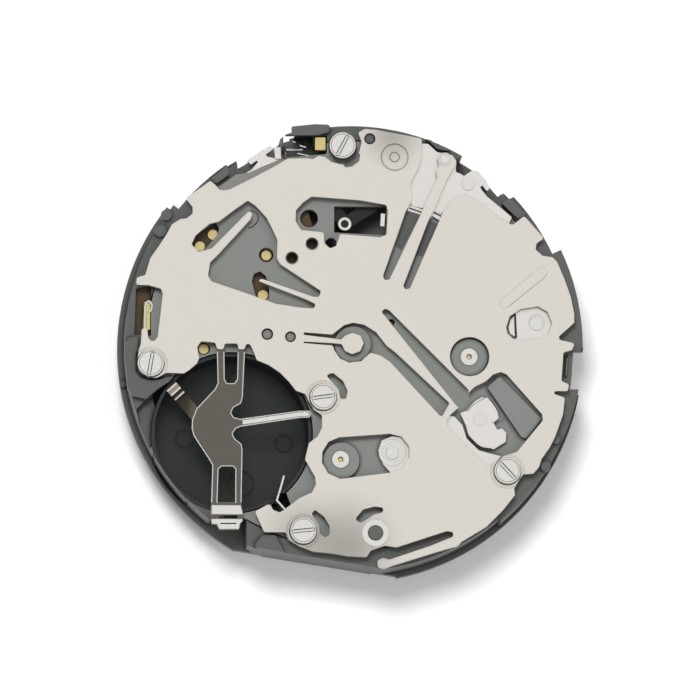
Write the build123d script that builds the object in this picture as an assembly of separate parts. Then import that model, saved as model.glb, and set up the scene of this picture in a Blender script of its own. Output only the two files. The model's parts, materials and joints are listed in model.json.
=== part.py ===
from build123d import *
import math
import os

os.makedirs("parts", exist_ok=True)

# Overall sizes. The origin is on the hand axis in the dial seat plane, +Z points to the
# battery side, +Y to the winding stem at 3 o'clock and +X to 12 o'clock.
casing_diameter = 27.6
casing_radius = casing_diameter / 2
rim_step = 0.6
rim_radius = casing_radius + rim_step
flange_step = 0.2
flange_radius = rim_radius + flange_step
seat_step = 0.2
seat_radius = casing_radius + seat_step
seat_height = 0.5

# Levels, from the dial seat upwards.
floor_top = 1.05
casing_step_height = 1.2
wall_top = 3.9
bridge_bottom = 3.35
bridge_top = 3.95
lever_bottom = 4.02
lever_thickness = 0.3
cover_bottom = 4.42
cover_thickness = 0.28
screw_head_height = 0.38
board_bottom = 3.1
board_thickness = 0.14
cover_top = cover_bottom + cover_thickness
lever_top = lever_bottom + lever_thickness
board_top = board_bottom + board_thickness

# Fits and small gaps.
running_gap = 0.03
part_gap = 0.08
edge_gap = 0.12
free_gap = 0.2
overrun = 0.5
light_corner = 0.06
small_corner = 0.15

# The plan was read from a picture: picture places are in its pixels, y downwards.
# Higher levels lie further up and right in it, because it was taken at a slant.
casing_pixels = 440.2
picture_turn = 6.0
base_centre = (349.3, 353.0)
cover_centre = (353.0, 343.0)
millimetres_per_pixel = casing_diameter / casing_pixels


def spot(pixel, level=None):
    """A place in the plan, in millimetres, of a picture place at a level."""
    height_share = 1 if level is None else level / cover_top
    centre_x = base_centre[0] + (cover_centre[0] - base_centre[0]) * height_share
    centre_y = base_centre[1] + (cover_centre[1] - base_centre[1]) * height_share
    across = (pixel[0] - centre_x) * millimetres_per_pixel
    up = (centre_y - pixel[1]) * millimetres_per_pixel
    turn = math.radians(picture_turn)
    return (across * math.cos(turn) - up * math.sin(turn),
            across * math.sin(turn) + up * math.cos(turn))


def span(pixels):
    """The length in millimetres of a number of picture pixels."""
    return pixels * millimetres_per_pixel


def rounded_face(points, corner):
    """A closed outline whose corners are rounded as far as their sides allow."""
    count = len(points)
    ends = []
    for index in range(count):
        here = Vector(*points[index])
        back = Vector(*points[index - 1]) - here
        ahead = Vector(*points[(index + 1) % count]) - here
        opening = math.radians(back.get_angle(ahead))
        half = opening / 2
        if corner == 0 or half > math.radians(86) or half < math.radians(4):
            ends.append((here, None, here))
            continue
        reach = min(corner / math.tan(half), back.length * 0.45, ahead.length * 0.45)
        radius = reach * math.tan(half)
        middle = (back.normalized() + ahead.normalized()).normalized()
        centre = here + middle * (reach / math.cos(half))
        ends.append((here + back.normalized() * reach,
                     centre - middle * radius,
                     here + ahead.normalized() * reach))
    edges = []
    for index in range(count):
        first, bend, last = ends[index]
        if bend is not None:
            edges.append(ThreePointArc(first, bend, last))
        edges.append(Line(last, ends[(index + 1) % count][0]))
    return make_face(edges)


def slab(points, bottom, top, corner=0):
    """A flat piece of an outline in millimetres between two levels."""
    return Pos(0, 0, bottom) * extrude(rounded_face(points, corner), top - bottom)


def traced(pixels, level, bottom, top, corner=0):
    """A flat piece whose outline is given in picture pixels seen at a level."""
    return slab([spot(pixel, level) for pixel in pixels], bottom, top, corner)


def rod(place, radius, bottom, top):
    """An upright cylinder."""
    lift = (bottom + top) / 2
    return Pos(place[0], place[1], lift) * Cylinder(radius, top - bottom)


def ring(place, outer, inner, bottom, top):
    """An upright ring."""
    return rod(place, outer, bottom, top) - rod(place, inner, bottom - overrun, top + overrun)


def bar(first, last, width, bottom, top):
    """A straight flat bar with round ends between two places."""
    run = Vector(last[0] - first[0], last[1] - first[1])
    turn = math.degrees(math.atan2(run.Y, run.X))
    middle = ((first[0] + last[0]) / 2, (first[1] + last[1]) / 2)
    body = Pos(middle[0], middle[1], (bottom + top) / 2) * Rot(0, 0, turn) * Box(
        run.length, width, top - bottom)
    return body + rod(first, width / 2, bottom, top) + rod(last, width / 2, bottom, top)


def away(place, distance, angle):
    """The place at a distance and angle in degrees from another place."""
    return (place[0] + distance * math.cos(math.radians(angle)),
            place[1] + distance * math.sin(math.radians(angle)))


def meeting(first, first_reach, second, second_reach, side):
    """Where circles about two places cross, on the left (+1) or right (-1) side."""
    run = Vector(second[0] - first[0], second[1] - first[1])
    along = (run.length ** 2 + first_reach ** 2 - second_reach ** 2) / (2 * run.length)
    off = math.sqrt(max(first_reach ** 2 - along ** 2, 0)) * side
    ahead = run.normalized()
    return (first[0] + ahead.X * along - ahead.Y * off,
            first[1] + ahead.Y * along + ahead.X * off)


def gear(place, module, teeth, bottom, top, phase=0):
    """A toothed disc with tapered teeth."""
    pitch_radius = module * teeth / 2
    tip = pitch_radius + module * addendum_share
    root = pitch_radius - module * dedendum_share
    points = []
    step = 360 / teeth
    for index in range(teeth):
        angle = phase + index * step
        for offset_share, radius in ((-root_half_share, root), (-tip_half_share, tip),
                                     (tip_half_share, tip), (root_half_share, root)):
            points.append(away(place, radius, angle + offset_share * step))
    return slab(points, bottom, top)


def save(name, shape):
    """Writes one sub-part."""
    shape.label = name
    export_step(shape, "parts/" + name + ".step")
    pieces[name] = shape


def group(shapes):
    """Alike pieces kept as separate solids of one node."""
    return Compound(children=[solid for shape in shapes for solid in shape.solids()])


pieces = {}

# Gear teeth, as shares of the module or of the tooth pitch.
addendum_share = 0.8
dedendum_share = 1.1
root_half_share = 0.27
tip_half_share = 0.12

# Modules and tooth counts of the going train.
centre_module = 0.125
third_module = 0.10
fourth_module = 0.06
fifth_module = 0.06
centre_teeth = 64
third_pinion_teeth = 8
third_teeth = 60
fourth_pinion_teeth = 8
fourth_teeth = 40
fifth_pinion_teeth = 8
fifth_teeth = 36
rotor_pinion_teeth = 6

# Modules and tooth counts of the chronograph train.
sweep_module = 0.07
sweep_feed_module = 0.06
transfer_module = 0.106
counter_module = 0.07
hour_train_module = 0.118
sweep_teeth = 90
feed_pinion_teeth = 6
feed_teeth = 60
sweep_pinion_teeth = 6
transfer_teeth = 60
transfer_pinion_teeth = 8
idler_teeth = 18
minute_counter_teeth = 48
counter_pinion_teeth = 8
hour_transfer_teeth = 32
hour_transfer_pinion_teeth = 10
hour_idler_teeth = 30
hour_counter_teeth = 30

# Modules and tooth counts of the motion work and the date drive.
motion_module = 0.10
hour_module = 0.08
date_module = 0.10
cannon_teeth = 12
minute_teeth = 36
minute_pinion_teeth = 12
hour_teeth = 48
date_pinion_teeth = 20
date_idler_teeth = 48
date_drive_teeth = 40
setting_teeth = 18


def mesh(module, first, second):
    """The centre distance of two meshing wheels."""
    return module * (first + second) / 2


# Places of the hand arbors, from the picture.
sub_dial_reach = 7.3
centre_place = (0, 0)
seconds_place = (-sub_dial_reach, 0)
minute_counter_place = (0, -sub_dial_reach)
hour_counter_place = (sub_dial_reach, 0)

third_place = meeting(seconds_place, mesh(third_module, fourth_pinion_teeth, third_teeth),
                      centre_place, mesh(centre_module, third_pinion_teeth, centre_teeth), 1)
fifth_place = away(seconds_place, mesh(fourth_module, fifth_pinion_teeth, fourth_teeth), 125)
time_rotor_place = away(fifth_place, mesh(fifth_module, rotor_pinion_teeth, fifth_teeth), 110)
feed_place = away(centre_place, mesh(sweep_module, feed_pinion_teeth, sweep_teeth), 20)
chrono_rotor_place = away(feed_place, mesh(sweep_feed_module, rotor_pinion_teeth, feed_teeth), 10)
transfer_place = away(centre_place, mesh(transfer_module, sweep_pinion_teeth, transfer_teeth), -70)
counter_heading = math.degrees(math.atan2(minute_counter_place[1] - transfer_place[1],
                                          minute_counter_place[0] - transfer_place[0]))
idler_place = away(transfer_place, mesh(counter_module, transfer_pinion_teeth, idler_teeth),
                   counter_heading)
second_idler_place = meeting(idler_place, mesh(counter_module, idler_teeth, idler_teeth),
                             minute_counter_place,
                             mesh(counter_module, idler_teeth, minute_counter_teeth), 1)
hour_transfer_place = away(minute_counter_place,
                           mesh(hour_train_module, counter_pinion_teeth, hour_transfer_teeth),
                           -8)
hour_idler_place = away(hour_transfer_place,
                        mesh(hour_train_module, hour_transfer_pinion_teeth, hour_idler_teeth), 45)
second_hour_idler_place = meeting(
    hour_idler_place, mesh(hour_train_module, hour_idler_teeth, hour_idler_teeth),
    hour_counter_place, mesh(hour_train_module, hour_idler_teeth, hour_counter_teeth), -1)
minute_place = away(centre_place, mesh(motion_module, cannon_teeth, minute_teeth), 75)
setting_place = away(minute_place, mesh(motion_module, minute_teeth, setting_teeth), 95)
date_idler_place = away(centre_place, mesh(date_module, date_pinion_teeth, date_idler_teeth), 165)
date_drive_place = away(date_idler_place, mesh(date_module, date_idler_teeth, date_drive_teeth), 140)

# Levels of the wheels: bottom and thickness of each.
wheel_thickness = 0.18
centre_wheel_bottom = 1.5
third_wheel_bottom = 2.06
fourth_wheel_bottom = 2.65
fifth_wheel_bottom = 2.36
sweep_wheel_bottom = 2.5
feed_wheel_bottom = 2.1
transfer_wheel_bottom = 2.86
idler_wheel_bottom = 2.22
hour_transfer_bottom = 1.22
hour_idler_bottom = 1.84
pinion_spare = 0.06

# Arbors, tubes and bearings. A hand's seat ends at a shoulder that is thicker.
arbor_radius = 0.3
counter_pivot_radius = 0.14
pivot_radius = 0.09
stud_radius = 0.13
stud_bore_radius = 0.16
hand_pivot_radius = 0.125
sweep_arbor_radius = 0.29
cannon_radius = 0.45
cannon_body_radius = 0.61
cannon_bore_radius = 0.32
hour_tube_radius = 0.8
hour_shoulder_radius = 0.96
hour_bore_radius = 0.64
hand_tip = -1.9
cannon_tip = -1.5
hour_tip = -1.05
sub_dial_tip = -1.3
dial_seat_level = 0
pivot_seat = 0.25

# Picture outlines of the cover plate, clockwise from the left-hand terminal tongue.
cover_outline = [
    (139.4, 352), (141.8, 345), (142.6, 330), (148.2, 329), (148.8, 338), (151.5, 342),
    (155.5, 342), (158.4, 338), (160.6, 320), (163.4, 295), (161.6, 289.6), (154, 287.6),
    (149, 286.2), (137, 286), (137.6, 278.6), (146, 276),
    (151, 259), (160, 246), (167, 235), (172.5, 225), (181, 219.5), (187, 219), (193, 214),
    (193, 207.5), (186, 198.6), (211, 180.7), (216, 185.5), (221.6, 191.4), (229, 190.5),
    (250, 180), (288, 158), (307, 157.4), (313, 158.5), (318, 155), (325, 156), (331, 161),
    (341, 163.5), (352, 160), (359, 151), (361.5, 141), (358, 131), (365, 127.5), (376, 128.3),
    (413, 135), (421.5, 137), (421.5, 156), (418, 166.6), (411, 180.4), (409.6, 185),
    (411.9, 192.7), (411, 200.3), (405.5, 210), (382.8, 275), (384, 279.5), (389, 279),
    (420, 214), (424.9, 201.8), (437, 175.8), (435.6, 169.7), (438.7, 163.6), (437, 157),
    (440.5, 151.5), (447, 150.8), (451.5, 154.5), (456.3, 159), (452.5, 168), (446.3, 178.9),
    (434, 208), (428, 219.4), (403, 285), (405, 289), (409.6, 287.5), (437, 224), (443, 209.5),
    (452.5, 197.3), (464.7, 191.9), (477, 198.8), (498.4, 215.6), (512, 223.3), (523.6, 214),
    (543.5, 236.3), (535.9, 241.6), (535, 247.8), (542, 253.9), (552, 255.4), (556.5, 260),
    (564.2, 278.4), (570, 295), (573.4, 312), (573.4, 321), (558, 335), (558.8, 338.3),
    (573.8, 341.6), (571.3, 348.2), (562.5, 351), (560.5, 379.7), (568, 383), (567, 389.7),
    (554, 389.7), (553, 392.5), (563.8, 396.3), (562, 413), (553.9, 436), (548.9, 446),
    (540.6, 457.7), (538, 466), (532.3, 472.6), (522.3, 473.4), (519, 477.6), (513.2, 487.5),
    (514, 494.2), (502.4, 509), (485.9, 525.7), (461, 541), (457, 545.5), (446, 548.5),
    (429.5, 553.6), (392, 565.5), (384, 568.5), (377.5, 567), (377, 560.5), (382.5, 557.8),
    (389, 559.5), (429.5, 545.6), (452.7, 536), (452, 531.5), (446, 530.6), (396.3, 547.2),
    (384.7, 545.6), (370.6, 550.5), (366.5, 557.2), (348.8, 556.5), (330.4, 553.5),
    (313.6, 552), (300, 547), (288.4, 540), (286, 532.8), (264.6, 532.8), (255.4, 512.2),
    (269.2, 504.5), (273.8, 510.6), (280, 513), (286, 509), (299.8, 498.4), (312, 493),
    (316, 484.6), (315, 477), (305.2, 460), (306, 455.5), (309, 443.3), (317.4, 437),
    (322, 428), (322, 415.7), (313.6, 409.6), (309, 402), (305.2, 394.3), (296, 391),
    (289, 382), (280, 373), (269, 365.5), (257, 360.6), (253, 350), (250, 344.5), (246.8, 344.5),
    (244.7, 350), (238.6, 350), (238.2, 344.2), (225, 344.2), (224.3, 350), (217.8, 350),
    (215.6, 343.4), (201.8, 342), (197.8, 348), (199.8, 359), (197.5, 364.5), (190, 371),
    (184.6, 374.5), (167.4, 374), (158, 379), (149, 379), (140, 373), (138.5, 362)]
fork_window = [
    (248, 200.5), (256, 206), (267, 218), (272, 228), (277.5, 240), (277, 258), (280, 264),
    (321, 291), (319, 297), (312.5, 296.5), (262, 279), (258, 281), (305, 299), (315.7, 304),
    (314, 308.5), (300, 307.5), (276, 304), (245, 293), (212, 282), (208.5, 276), (210.5, 263),
    (219, 254.5), (251, 219), (252.5, 213), (248.5, 211.5), (212, 249), (199, 252.5), (192, 245),
    (196, 236), (210, 224), (219, 222), (236, 209)]
setting_window = [
    (311.7, 196), (360, 199.5), (386, 204), (387.5, 210), (386, 234), (380, 236.5), (340, 233.5),
    (336, 245.5), (330, 248), (324.5, 243), (323.5, 232), (301, 229.6), (295.7, 221), (296, 210),
    (303, 202)]
eye_window = [
    (303.7, 335), (303.7, 332.5), (332, 334.5), (336, 331.5), (344, 325), (353, 322.5),
    (364, 324.5), (376, 332), (386.5, 345.5), (395, 352), (449, 402.5), (441, 417), (389.7, 361.5),
    (380, 355), (370, 352.5), (361, 361), (349, 362.5), (340, 358.5), (334, 350), (333, 345.5),
    (320, 344.5), (303.7, 343.2), (303.7, 341.8), (330, 343), (341.5, 344), (345, 351),
    (352, 354), (360, 351), (363.5, 343), (360.5, 335.5), (352.5, 332.5), (345, 335.5),
    (341, 339.5), (330, 338)]
upper_finger_slot = [(381, 311), (385, 308), (389, 310), (468, 389), (466, 401), (459, 408.5),
                     (455, 404)]
hammer_window = [
    (447, 419), (450, 414), (461, 404), (465.7, 394), (474, 386), (485, 380.5), (492.5, 373.5),
    (500, 371), (506, 373.5), (541, 413), (542, 419), (526, 438.6), (516, 451), (503, 455),
    (493, 462), (487.5, 465), (483, 462), (450, 429), (446, 424)]
lever_hole = [
    (505.5, 326), (509, 315), (520, 307.5), (537, 304.5), (547, 310), (551.4, 321), (548, 331.5),
    (541, 336), (524, 339), (512, 337.5), (506.5, 332)]
obround_window = [
    (339, 437.5), (390, 433.5), (401, 436), (409, 446), (409, 457), (402, 467), (390, 472.5),
    (352, 477.5), (340, 479), (328, 473.5), (322, 463), (322.5, 452), (328.5, 442)]
kidney_slots = [
    [(355, 150), (360, 153), (359, 160), (352, 165.5), (345, 166.5), (342, 162.5), (350, 158)],
    [(325.5, 375), (333, 373), (343, 381), (347.5, 391), (346, 399), (340.5, 399), (338.5, 390),
     (332.5, 382.5)],
    [(311.5, 514), (315, 510), (324, 517), (329.5, 526), (329.5, 535), (325, 538), (320.5, 534),
     (319, 525)],
    [(355, 519), (363, 509.5), (374, 506.5), (382.5, 507.5), (383, 512), (374, 514.5),
     (364, 521), (359.5, 523)]]
cover_holes = [(312, 243.6, 6.4), (292, 258, 6.4), (369.6, 137.4, 5.6),
               (267.5, 334.5, 5.8), (290.6, 337, 5.4)]
pivot_window_pixels = 19.6
hour_pivot_pixel = (469, 355.7)
riveted_ring = (394.3, 155.7, 13.7, 12.6)
riveted_stud_ring = (394.3, 155.7, 5.2, 4.2)
groove_depth = 0.05
ribs = [((504, 302), (541, 271)), ]
rib_width = 0.62
rib_height = 0.05

# Cover screws and their embossed rings.
screw_pixels = [(342.2, 145), (151.5, 365), (323, 397.6), (303.3, 531.5), (506.4, 470.5)]
screw_angles = [62, 80, 8, 6, -47]
screw_head_radius = 0.82
screw_shank_radius = 0.42
screw_slot_width = 0.16
screw_slot_depth = 0.14
screw_ring_radius = 1.0
screw_ring_width = 0.07
ring_emboss = 0.04
post_radius = 0.85
guide_post_pixel = (375.2, 533)
guide_post_radius = 0.44
guide_collar_radius = 0.85
guide_hole_radius = 0.52
guide_collar_height = 0.2

# Battery pit.
battery_pixel = (232, 434)
pit_radius = 4.8
cup_wall = 0.2
cup_floor_bottom = 0.76
cup_floor_top = 1.0
cup_rim_step = 0.16
cup_rim_radius = rim_radius - cup_rim_step
ejector_marks = [(284, 445, 9.5), (241, 486, 13.5), (185, 441, 10), (236, 380, 8)]
ejector_depth = 0.05
ejector_line = 0.12
battery_place = spot(battery_pixel, wall_top)

# Outlines of the battery strap, which is latched over the pit.
strap_outline = [
    (217.8, 351), (224.3, 351), (224.6, 380), (227, 384.5), (235, 384.5), (238, 380), (238.6, 351),
    (244.7, 351), (242.6, 398), (241, 404), (233.5, 408), (231, 414), (234, 418.5), (240.5, 420.2),
    (300, 411.6), (309, 411.5), (311, 414.5), (309, 417.5), (300, 417.8), (240.8, 427),
    (235.5, 429.5), (232.5, 434.5), (235, 440), (241.5, 445), (242.4, 450), (241.5, 505),
    (236.2, 505), (236.4, 470), (234, 466.8), (222, 466.8), (218.6, 470), (217.6, 505),
    (212, 505), (213.5, 466), (210, 460), (195, 437), (193, 430), (193.3, 421), (197.5, 410),
    (216, 390), (218.7, 384)]
latch_outline = [(212, 503), (241.5, 503), (243.6, 514), (243.5, 522), (241, 524.5), (240, 530.5),
                 (220, 530.8), (217.5, 525.8), (212, 525), (211, 514)]
latch_slot = [(219, 516), (238, 516), (238, 519), (219, 519)]
strap_thickness = 0.16


# Screw posts, the pieces beside the cover and the openings in the main plate.
wall_width = 1.3
wall_step = 0.2
wall_outer_radius = rim_radius - wall_step
wall_inner_radius = wall_outer_radius - wall_width
flat_line = [(236, 552), (396, 577), (396, 620), (200, 620), (200, 552)]
pusher_bays = [
    [(448, 172), (455, 158), (462, 154), (473, 150), (500, 165), (520, 190), (499, 204),
     (484, 207)],
    [(230, 178), (250, 176), (268, 171), (286, 165), (285, 150), (273, 120), (225, 160)]]
leaf_bay = [(268, 497), (287, 493), (294, 511), (278, 519)]
terminal_bays = [
    [(136.5, 290), (144, 287.5), (152, 287.5), (152, 336), (135, 336)],
    [(313.5, 134.6), (327, 134.6), (327, 151), (313.5, 151)]]
side_terminal_bottom = 3.3
stem_bay = [(283, 133), (314, 131), (316, 157), (284, 158)]
flange_notches = [
    [(455, 140), (453, 150), (457, 158), (469, 165), (480, 172), (491, 186), (498, 194),
     (510, 185), (480, 140)],
    [(236, 150), (237.5, 167.5), (243, 164.5), (249.5, 160), (270, 146), (274, 146.5), (282, 141),
     (290, 138), (288, 120), (255, 125)]]
flange_gaps = [
    [(352, 345), (652, 205), (652, 20), (60, 20), (116, 160)],
    [(530, 344), (620, 344), (620, 388), (530, 388)]]
ear_outline = [
    (126, 343.8), (130, 339), (138.8, 337.7), (138.8, 350), (136.4, 356), (136.4, 373), (141, 379),
    (150, 381.5), (160, 381), (168, 378), (178, 377.5), (159, 389.7), (146.7, 400.4), (133.7, 397.4),
    (129, 389.7), (125.3, 357.6)]
rim_blocks = [
    [(211, 179), (230, 162.5), (236, 169), (216, 184)],
    [(284, 131), (292, 125.5), (315, 123), (330, 123.5), (329, 131), (316, 134), (285, 134.5)],
    [(421.8, 136.5), (430, 138), (437, 142.5), (446, 145.5), (451.5, 149), (444, 148.5),
     (436.5, 146.5), (429, 139.5)],
    [(499, 199), (506, 192), (526, 213), (519, 218)],
    [(264, 535.5), (276, 535.8), (286, 557), (281.5, 561), (254.5, 546)]]
block_top = 4.38
rim_pins = [(166.7, 215.5, 5.4), (161, 231.6, 6.0), (544.6, 465.3, 5.0), (555.4, 439, 4.0)]
rim_pin_top = 4.15
flange_pins = [(124, 385.5, 3.3), (500, 521, 4.4)]
flange_pin_top = 1.5
bridge_corner = [(150, 378), (174, 378), (174, 408), (150, 408)]
bridge_pin_pixels = [(267.5, 334.5, 4.4), (290.6, 337, 4.1)]
wall_pin_pixels = [(369.6, 137.4, 4.4)]
pin_sink = 0.12
right_wall = [(530, 232), (610, 232), (610, 400), (580, 470), (515, 535), (495, 515)]
corner_pocket = [(176, 520), (212, 520), (214, 514), (240, 514), (247, 520), (248.5, 566), (196, 566)]
side_pocket = [(137, 411), (146.5, 401), (170, 388), (163, 402), (157, 420), (156, 440), (157, 447),
               (153, 448.5), (146, 450)]
side_pocket_bottom = 3.1
dial_foot_radius = 0.4
dial_foot_margin = 0.9
dial_foot_reach = rim_radius - dial_foot_margin
dial_foot_depth = 0.9
dial_foot_angles = (19, 200)
stem_level = 2.3
stem_hole_radius = 0.6

# Dial side: the date ring, its guard and the pockets for the wheels.
date_ring_margin = 1.5
date_ring_width = 2.0
date_tooth_depth = 0.45
date_ring_outer = rim_radius - date_ring_margin
date_ring_inner = date_ring_outer - date_ring_width
date_tooth_tip = date_ring_inner - date_tooth_depth
date_tooth_width = 0.7
date_days = 31
date_ring_bottom = 0.25
date_ring_thickness = 0.25
date_recess_depth = 0.62
guard_overlap = 0.3
guard_radius = date_ring_inner + guard_overlap
guard_bottom = 0.03
guard_thickness = 0.15
guard_recess_depth = 0.2
guard_screw_margin = 1.6
guard_screw_reach = guard_radius - guard_screw_margin
guard_screw_angles = (15, 128, 300)
guard_screw_radius = 0.55
guard_screw_shank = 0.3
guard_screw_head = 0.14
guard_screw_length = 0.75
island_gap = 0.15
island_radius = date_tooth_tip - island_gap
gear_level = 0.5
hour_gear_bottom = 0.22
hour_gear_thickness = 0.17
date_gear_thickness = 0.12
minute_gear_bottom = 0.68
minute_gear_thickness = 0.14
motion_pocket_top = 0.88
finger_width = 0.3
finger_overlap = 0.25
finger_reach = date_tooth_tip + finger_overlap
finger_bottom = 0.27
finger_thickness = 0.14
jumper_pivot_margin = 1.15
jumper_pivot_reach = date_tooth_tip - jumper_pivot_margin
jumper_pivot_angle = 255
jumper_beak_angle = 232.3
jumper_width = 0.35
jumper_beak = 0.15
jumper_thickness = 0.18

cup_place = battery_place
cup_outer = pit_radius + cup_wall
arbor_places = [seconds_place, minute_counter_place, hour_counter_place]
date_finger_length = finger_reach - math.hypot(*date_drive_place)
pivot_depth = 0.12
post_neck_radius = 0.62
screw_length = 1.2
lever_stud_radius = 0.3
sunk_screw = 2
boss_pixels = [(353, 343, 18, 4.2), (469, 355.7, 18.4, 4.3), (341.4, 460, 18, 4.3)]
bearing_radius = 0.55
bearing_top = 4.34
bearing_depth = 0.5
bridge_radius = wall_inner_radius - part_gap
bridge_windows = [
    [(334, 205.5), (386, 205.5), (387, 234.5), (334, 232)],
    [(198, 234), (215, 222), (219.5, 228), (218, 235), (204, 251), (197, 251), (191.5, 244)],
    [(252, 282), (254, 274), (260, 271.5), (266, 276), (269.5, 290), (269, 299), (262, 300.5),
     (256, 297)],
    [(286, 133), (314, 131), (326, 134), (326, 153), (286, 157)]]
bridge_holes = [(309, 218, 9), (312, 243.6, 5.2), (330.8, 243, 5.6), (292, 258, 5.2),
                (266.3, 255, 7.4), (204, 349, 6.8), (391, 322, 3.6), (320, 141, 7)]
bridge_blocks = [
    [(486.7, 386.4), (499, 375.6), (540.6, 417.9), (525.7, 437.8), (520.7, 436)],
    [(382, 210), (386, 210.5), (385, 227), (379.5, 226.5)]]
reset_stud_pixel = (205, 197)
start_stud_pixel = (394.3, 155.7)
operating_stud_pixel = (536, 321)
hammer_stud_pixel = (479.6, 418)
minute_hammer_stud_pixel = (392, 452.5)
lever_stud_pixels = [reset_stud_pixel, start_stud_pixel, operating_stud_pixel,
                     hammer_stud_pixel, minute_hammer_stud_pixel]
lever_stud_depth = 0.4
setting_lever_pixel = (344, 223)
setting_lever_place = spot(setting_lever_pixel, bridge_bottom)
yoke_place = (3.7, 6.6)
clutch_centre_reach = 6.3


def main_plate():
    plate = rod(centre_place, flange_radius, seat_height, casing_step_height)
    plate += rod(centre_place, wall_outer_radius, seat_height, wall_top)
    plate -= rod(centre_place, wall_inner_radius, floor_top, wall_top + overrun)
    plate += (ring(centre_place, rim_radius, wall_inner_radius, floor_top, wall_top)
              & traced(right_wall, wall_top, floor_top, wall_top))
    for outline in flange_gaps:
        plate -= (ring(centre_place, flange_radius + overrun, casing_radius, 0, wall_top + overrun)
                  & traced(outline, wall_top, 0, wall_top + overrun))
    plate += rod(centre_place, seat_radius, 0, seat_height)
    added = [traced(ear_outline, block_top, wall_top - overrun, block_top, small_corner)]
    for across, down, radius in wall_pin_pixels:
        added.append(rod(spot((across, down)), span(radius), wall_top - overrun,
                         cover_top - pin_sink))
    for index, pixel in enumerate([*screw_pixels, guide_post_pixel]):
        if index != sunk_screw:
            added.append(rod(spot(pixel), post_radius, casing_step_height / 2, bridge_bottom))
            added.append(rod(spot(pixel), post_neck_radius, bridge_bottom, cover_bottom))
    for outline in rim_blocks:
        added.append(traced(outline, block_top, wall_top - overrun, block_top, small_corner))
    for across, down, radius in rim_pins:
        added.append(rod(spot((across, down), rim_pin_top), span(radius),
                         wall_top - overrun, rim_pin_top))
    for across, down, radius in flange_pins:
        added.append(rod(spot((across, down), flange_pin_top), span(radius),
                         casing_step_height / 2, flange_pin_top))
    # Studs that carry the low wheels.
    idler_stud_top = idler_wheel_bottom + wheel_thickness + pinion_spare
    hour_stud_top = hour_idler_bottom + wheel_thickness + pinion_spare
    for place, top in ((idler_place, idler_stud_top), (second_idler_place, idler_stud_top),
                       (hour_transfer_place, hour_stud_top), (hour_idler_place, hour_stud_top),
                       (second_hour_idler_place, hour_stud_top)):
        added.append(rod(place, stud_radius, floor_top - pivot_depth, top))
    plate += added
    cuts = [traced(outline, wall_top, floor_top, cover_top) for outline in pusher_bays]
    cuts.append(traced(stem_bay, wall_top, floor_top, wall_top, small_corner))
    for outline in terminal_bays:
        cuts.append(traced(outline, wall_top, side_terminal_bottom, cover_top, light_corner))
    for pixel in lever_stud_pixels:
        cuts.append(rod(spot(pixel), lever_stud_radius, bridge_top - lever_stud_depth, cover_top))
    cuts.append(traced(corner_pocket, wall_top, casing_step_height, cover_top, light_corner))
    cuts.append(traced(side_pocket, wall_top, side_pocket_bottom, cover_top, light_corner))
    for outline in flange_notches:
        cuts.append(traced(outline, casing_step_height, -overrun, cover_top))
    cuts.append(traced(flat_line, casing_step_height, -overrun, cover_top))
    cuts.append(rod(cup_place, cup_outer + running_gap, cup_floor_bottom, cover_top))
    for index, pixel in enumerate(screw_pixels):
        if index != sunk_screw:
            cuts.append(rod(spot(pixel), screw_shank_radius + running_gap,
                            cover_bottom - screw_length, cover_top))
    cuts.append(rod(spot(guide_post_pixel), guide_post_radius + running_gap,
                    bridge_bottom, cover_top))
    cuts.append(Pos(0, rim_radius, stem_level) * Rot(90, 0, 0) * Cylinder(
        stem_hole_radius, 2 * (rim_radius - wall_inner_radius) + overrun))
    # The dial side: recesses for the date ring, its guard and the wheels.
    cuts.append(rod(centre_place, date_ring_outer + part_gap, -overrun, date_recess_depth)
                - rod(centre_place, island_radius, -overrun, date_recess_depth))
    cuts.append(rod(centre_place, guard_radius + part_gap, -overrun, guard_recess_depth))
    for place, radius in (
            (centre_place, hour_module * (hour_teeth + 2) / 2),
            (minute_place, motion_module * (minute_teeth + 2) / 2),
            (setting_place, motion_module * (setting_teeth + 2) / 2),
            (date_idler_place, date_module * (date_idler_teeth + 2) / 2),
            (date_drive_place, date_finger_length)):
        cuts.append(rod(place, radius + edge_gap, -overrun, motion_pocket_top))
    cuts.append(jumper_pocket())
    cuts.append(rod(centre_place, cannon_body_radius + running_gap, -overrun,
                    floor_top + overrun))
    for place in arbor_places:
        cuts.append(rod(place, arbor_radius + running_gap, -overrun, floor_top + overrun))
    for place in (third_place, fifth_place, time_rotor_place, chrono_rotor_place):
        cuts.append(rod(place, pivot_radius + running_gap, floor_top - pivot_depth, floor_top))
    cuts.append(rod(setting_place, stud_radius + running_gap, -overrun, floor_top))
    for angle in guard_screw_angles:
        cuts.append(rod(away(centre_place, guard_screw_reach, angle),
                        guard_screw_shank + running_gap, -overrun, guard_screw_length))
    for angle in dial_foot_angles:
        cuts.append(rod(away(centre_place, dial_foot_reach, angle), dial_foot_radius,
                        -overrun, dial_foot_depth))
    return plate - cuts


def jumper_pocket():
    """The pocket of the date jumper, open to the ring."""
    pivot = away(centre_place, jumper_pivot_reach, jumper_pivot_angle)
    tip = away(centre_place, date_tooth_tip - part_gap, jumper_beak_angle)
    return bar(pivot, tip, 4 * jumper_width, -overrun, date_recess_depth)


def battery_cup():
    cup = rod(cup_place, cup_outer, cup_floor_bottom, wall_top)
    cup -= rod(cup_place, pit_radius, cup_floor_top, wall_top + overrun)
    for across, down, radius in ejector_marks:
        place = spot((across, down), cup_floor_top)
        cup -= ring(place, span(radius), span(radius) - ejector_line,
                    cup_floor_top - ejector_depth, cup_floor_top)
    cup -= traced(leaf_bay, wall_top, leaf_bottom - part_gap, cover_top)
    return cup & rod(centre_place, cup_rim_radius, 0, cover_top)


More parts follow.
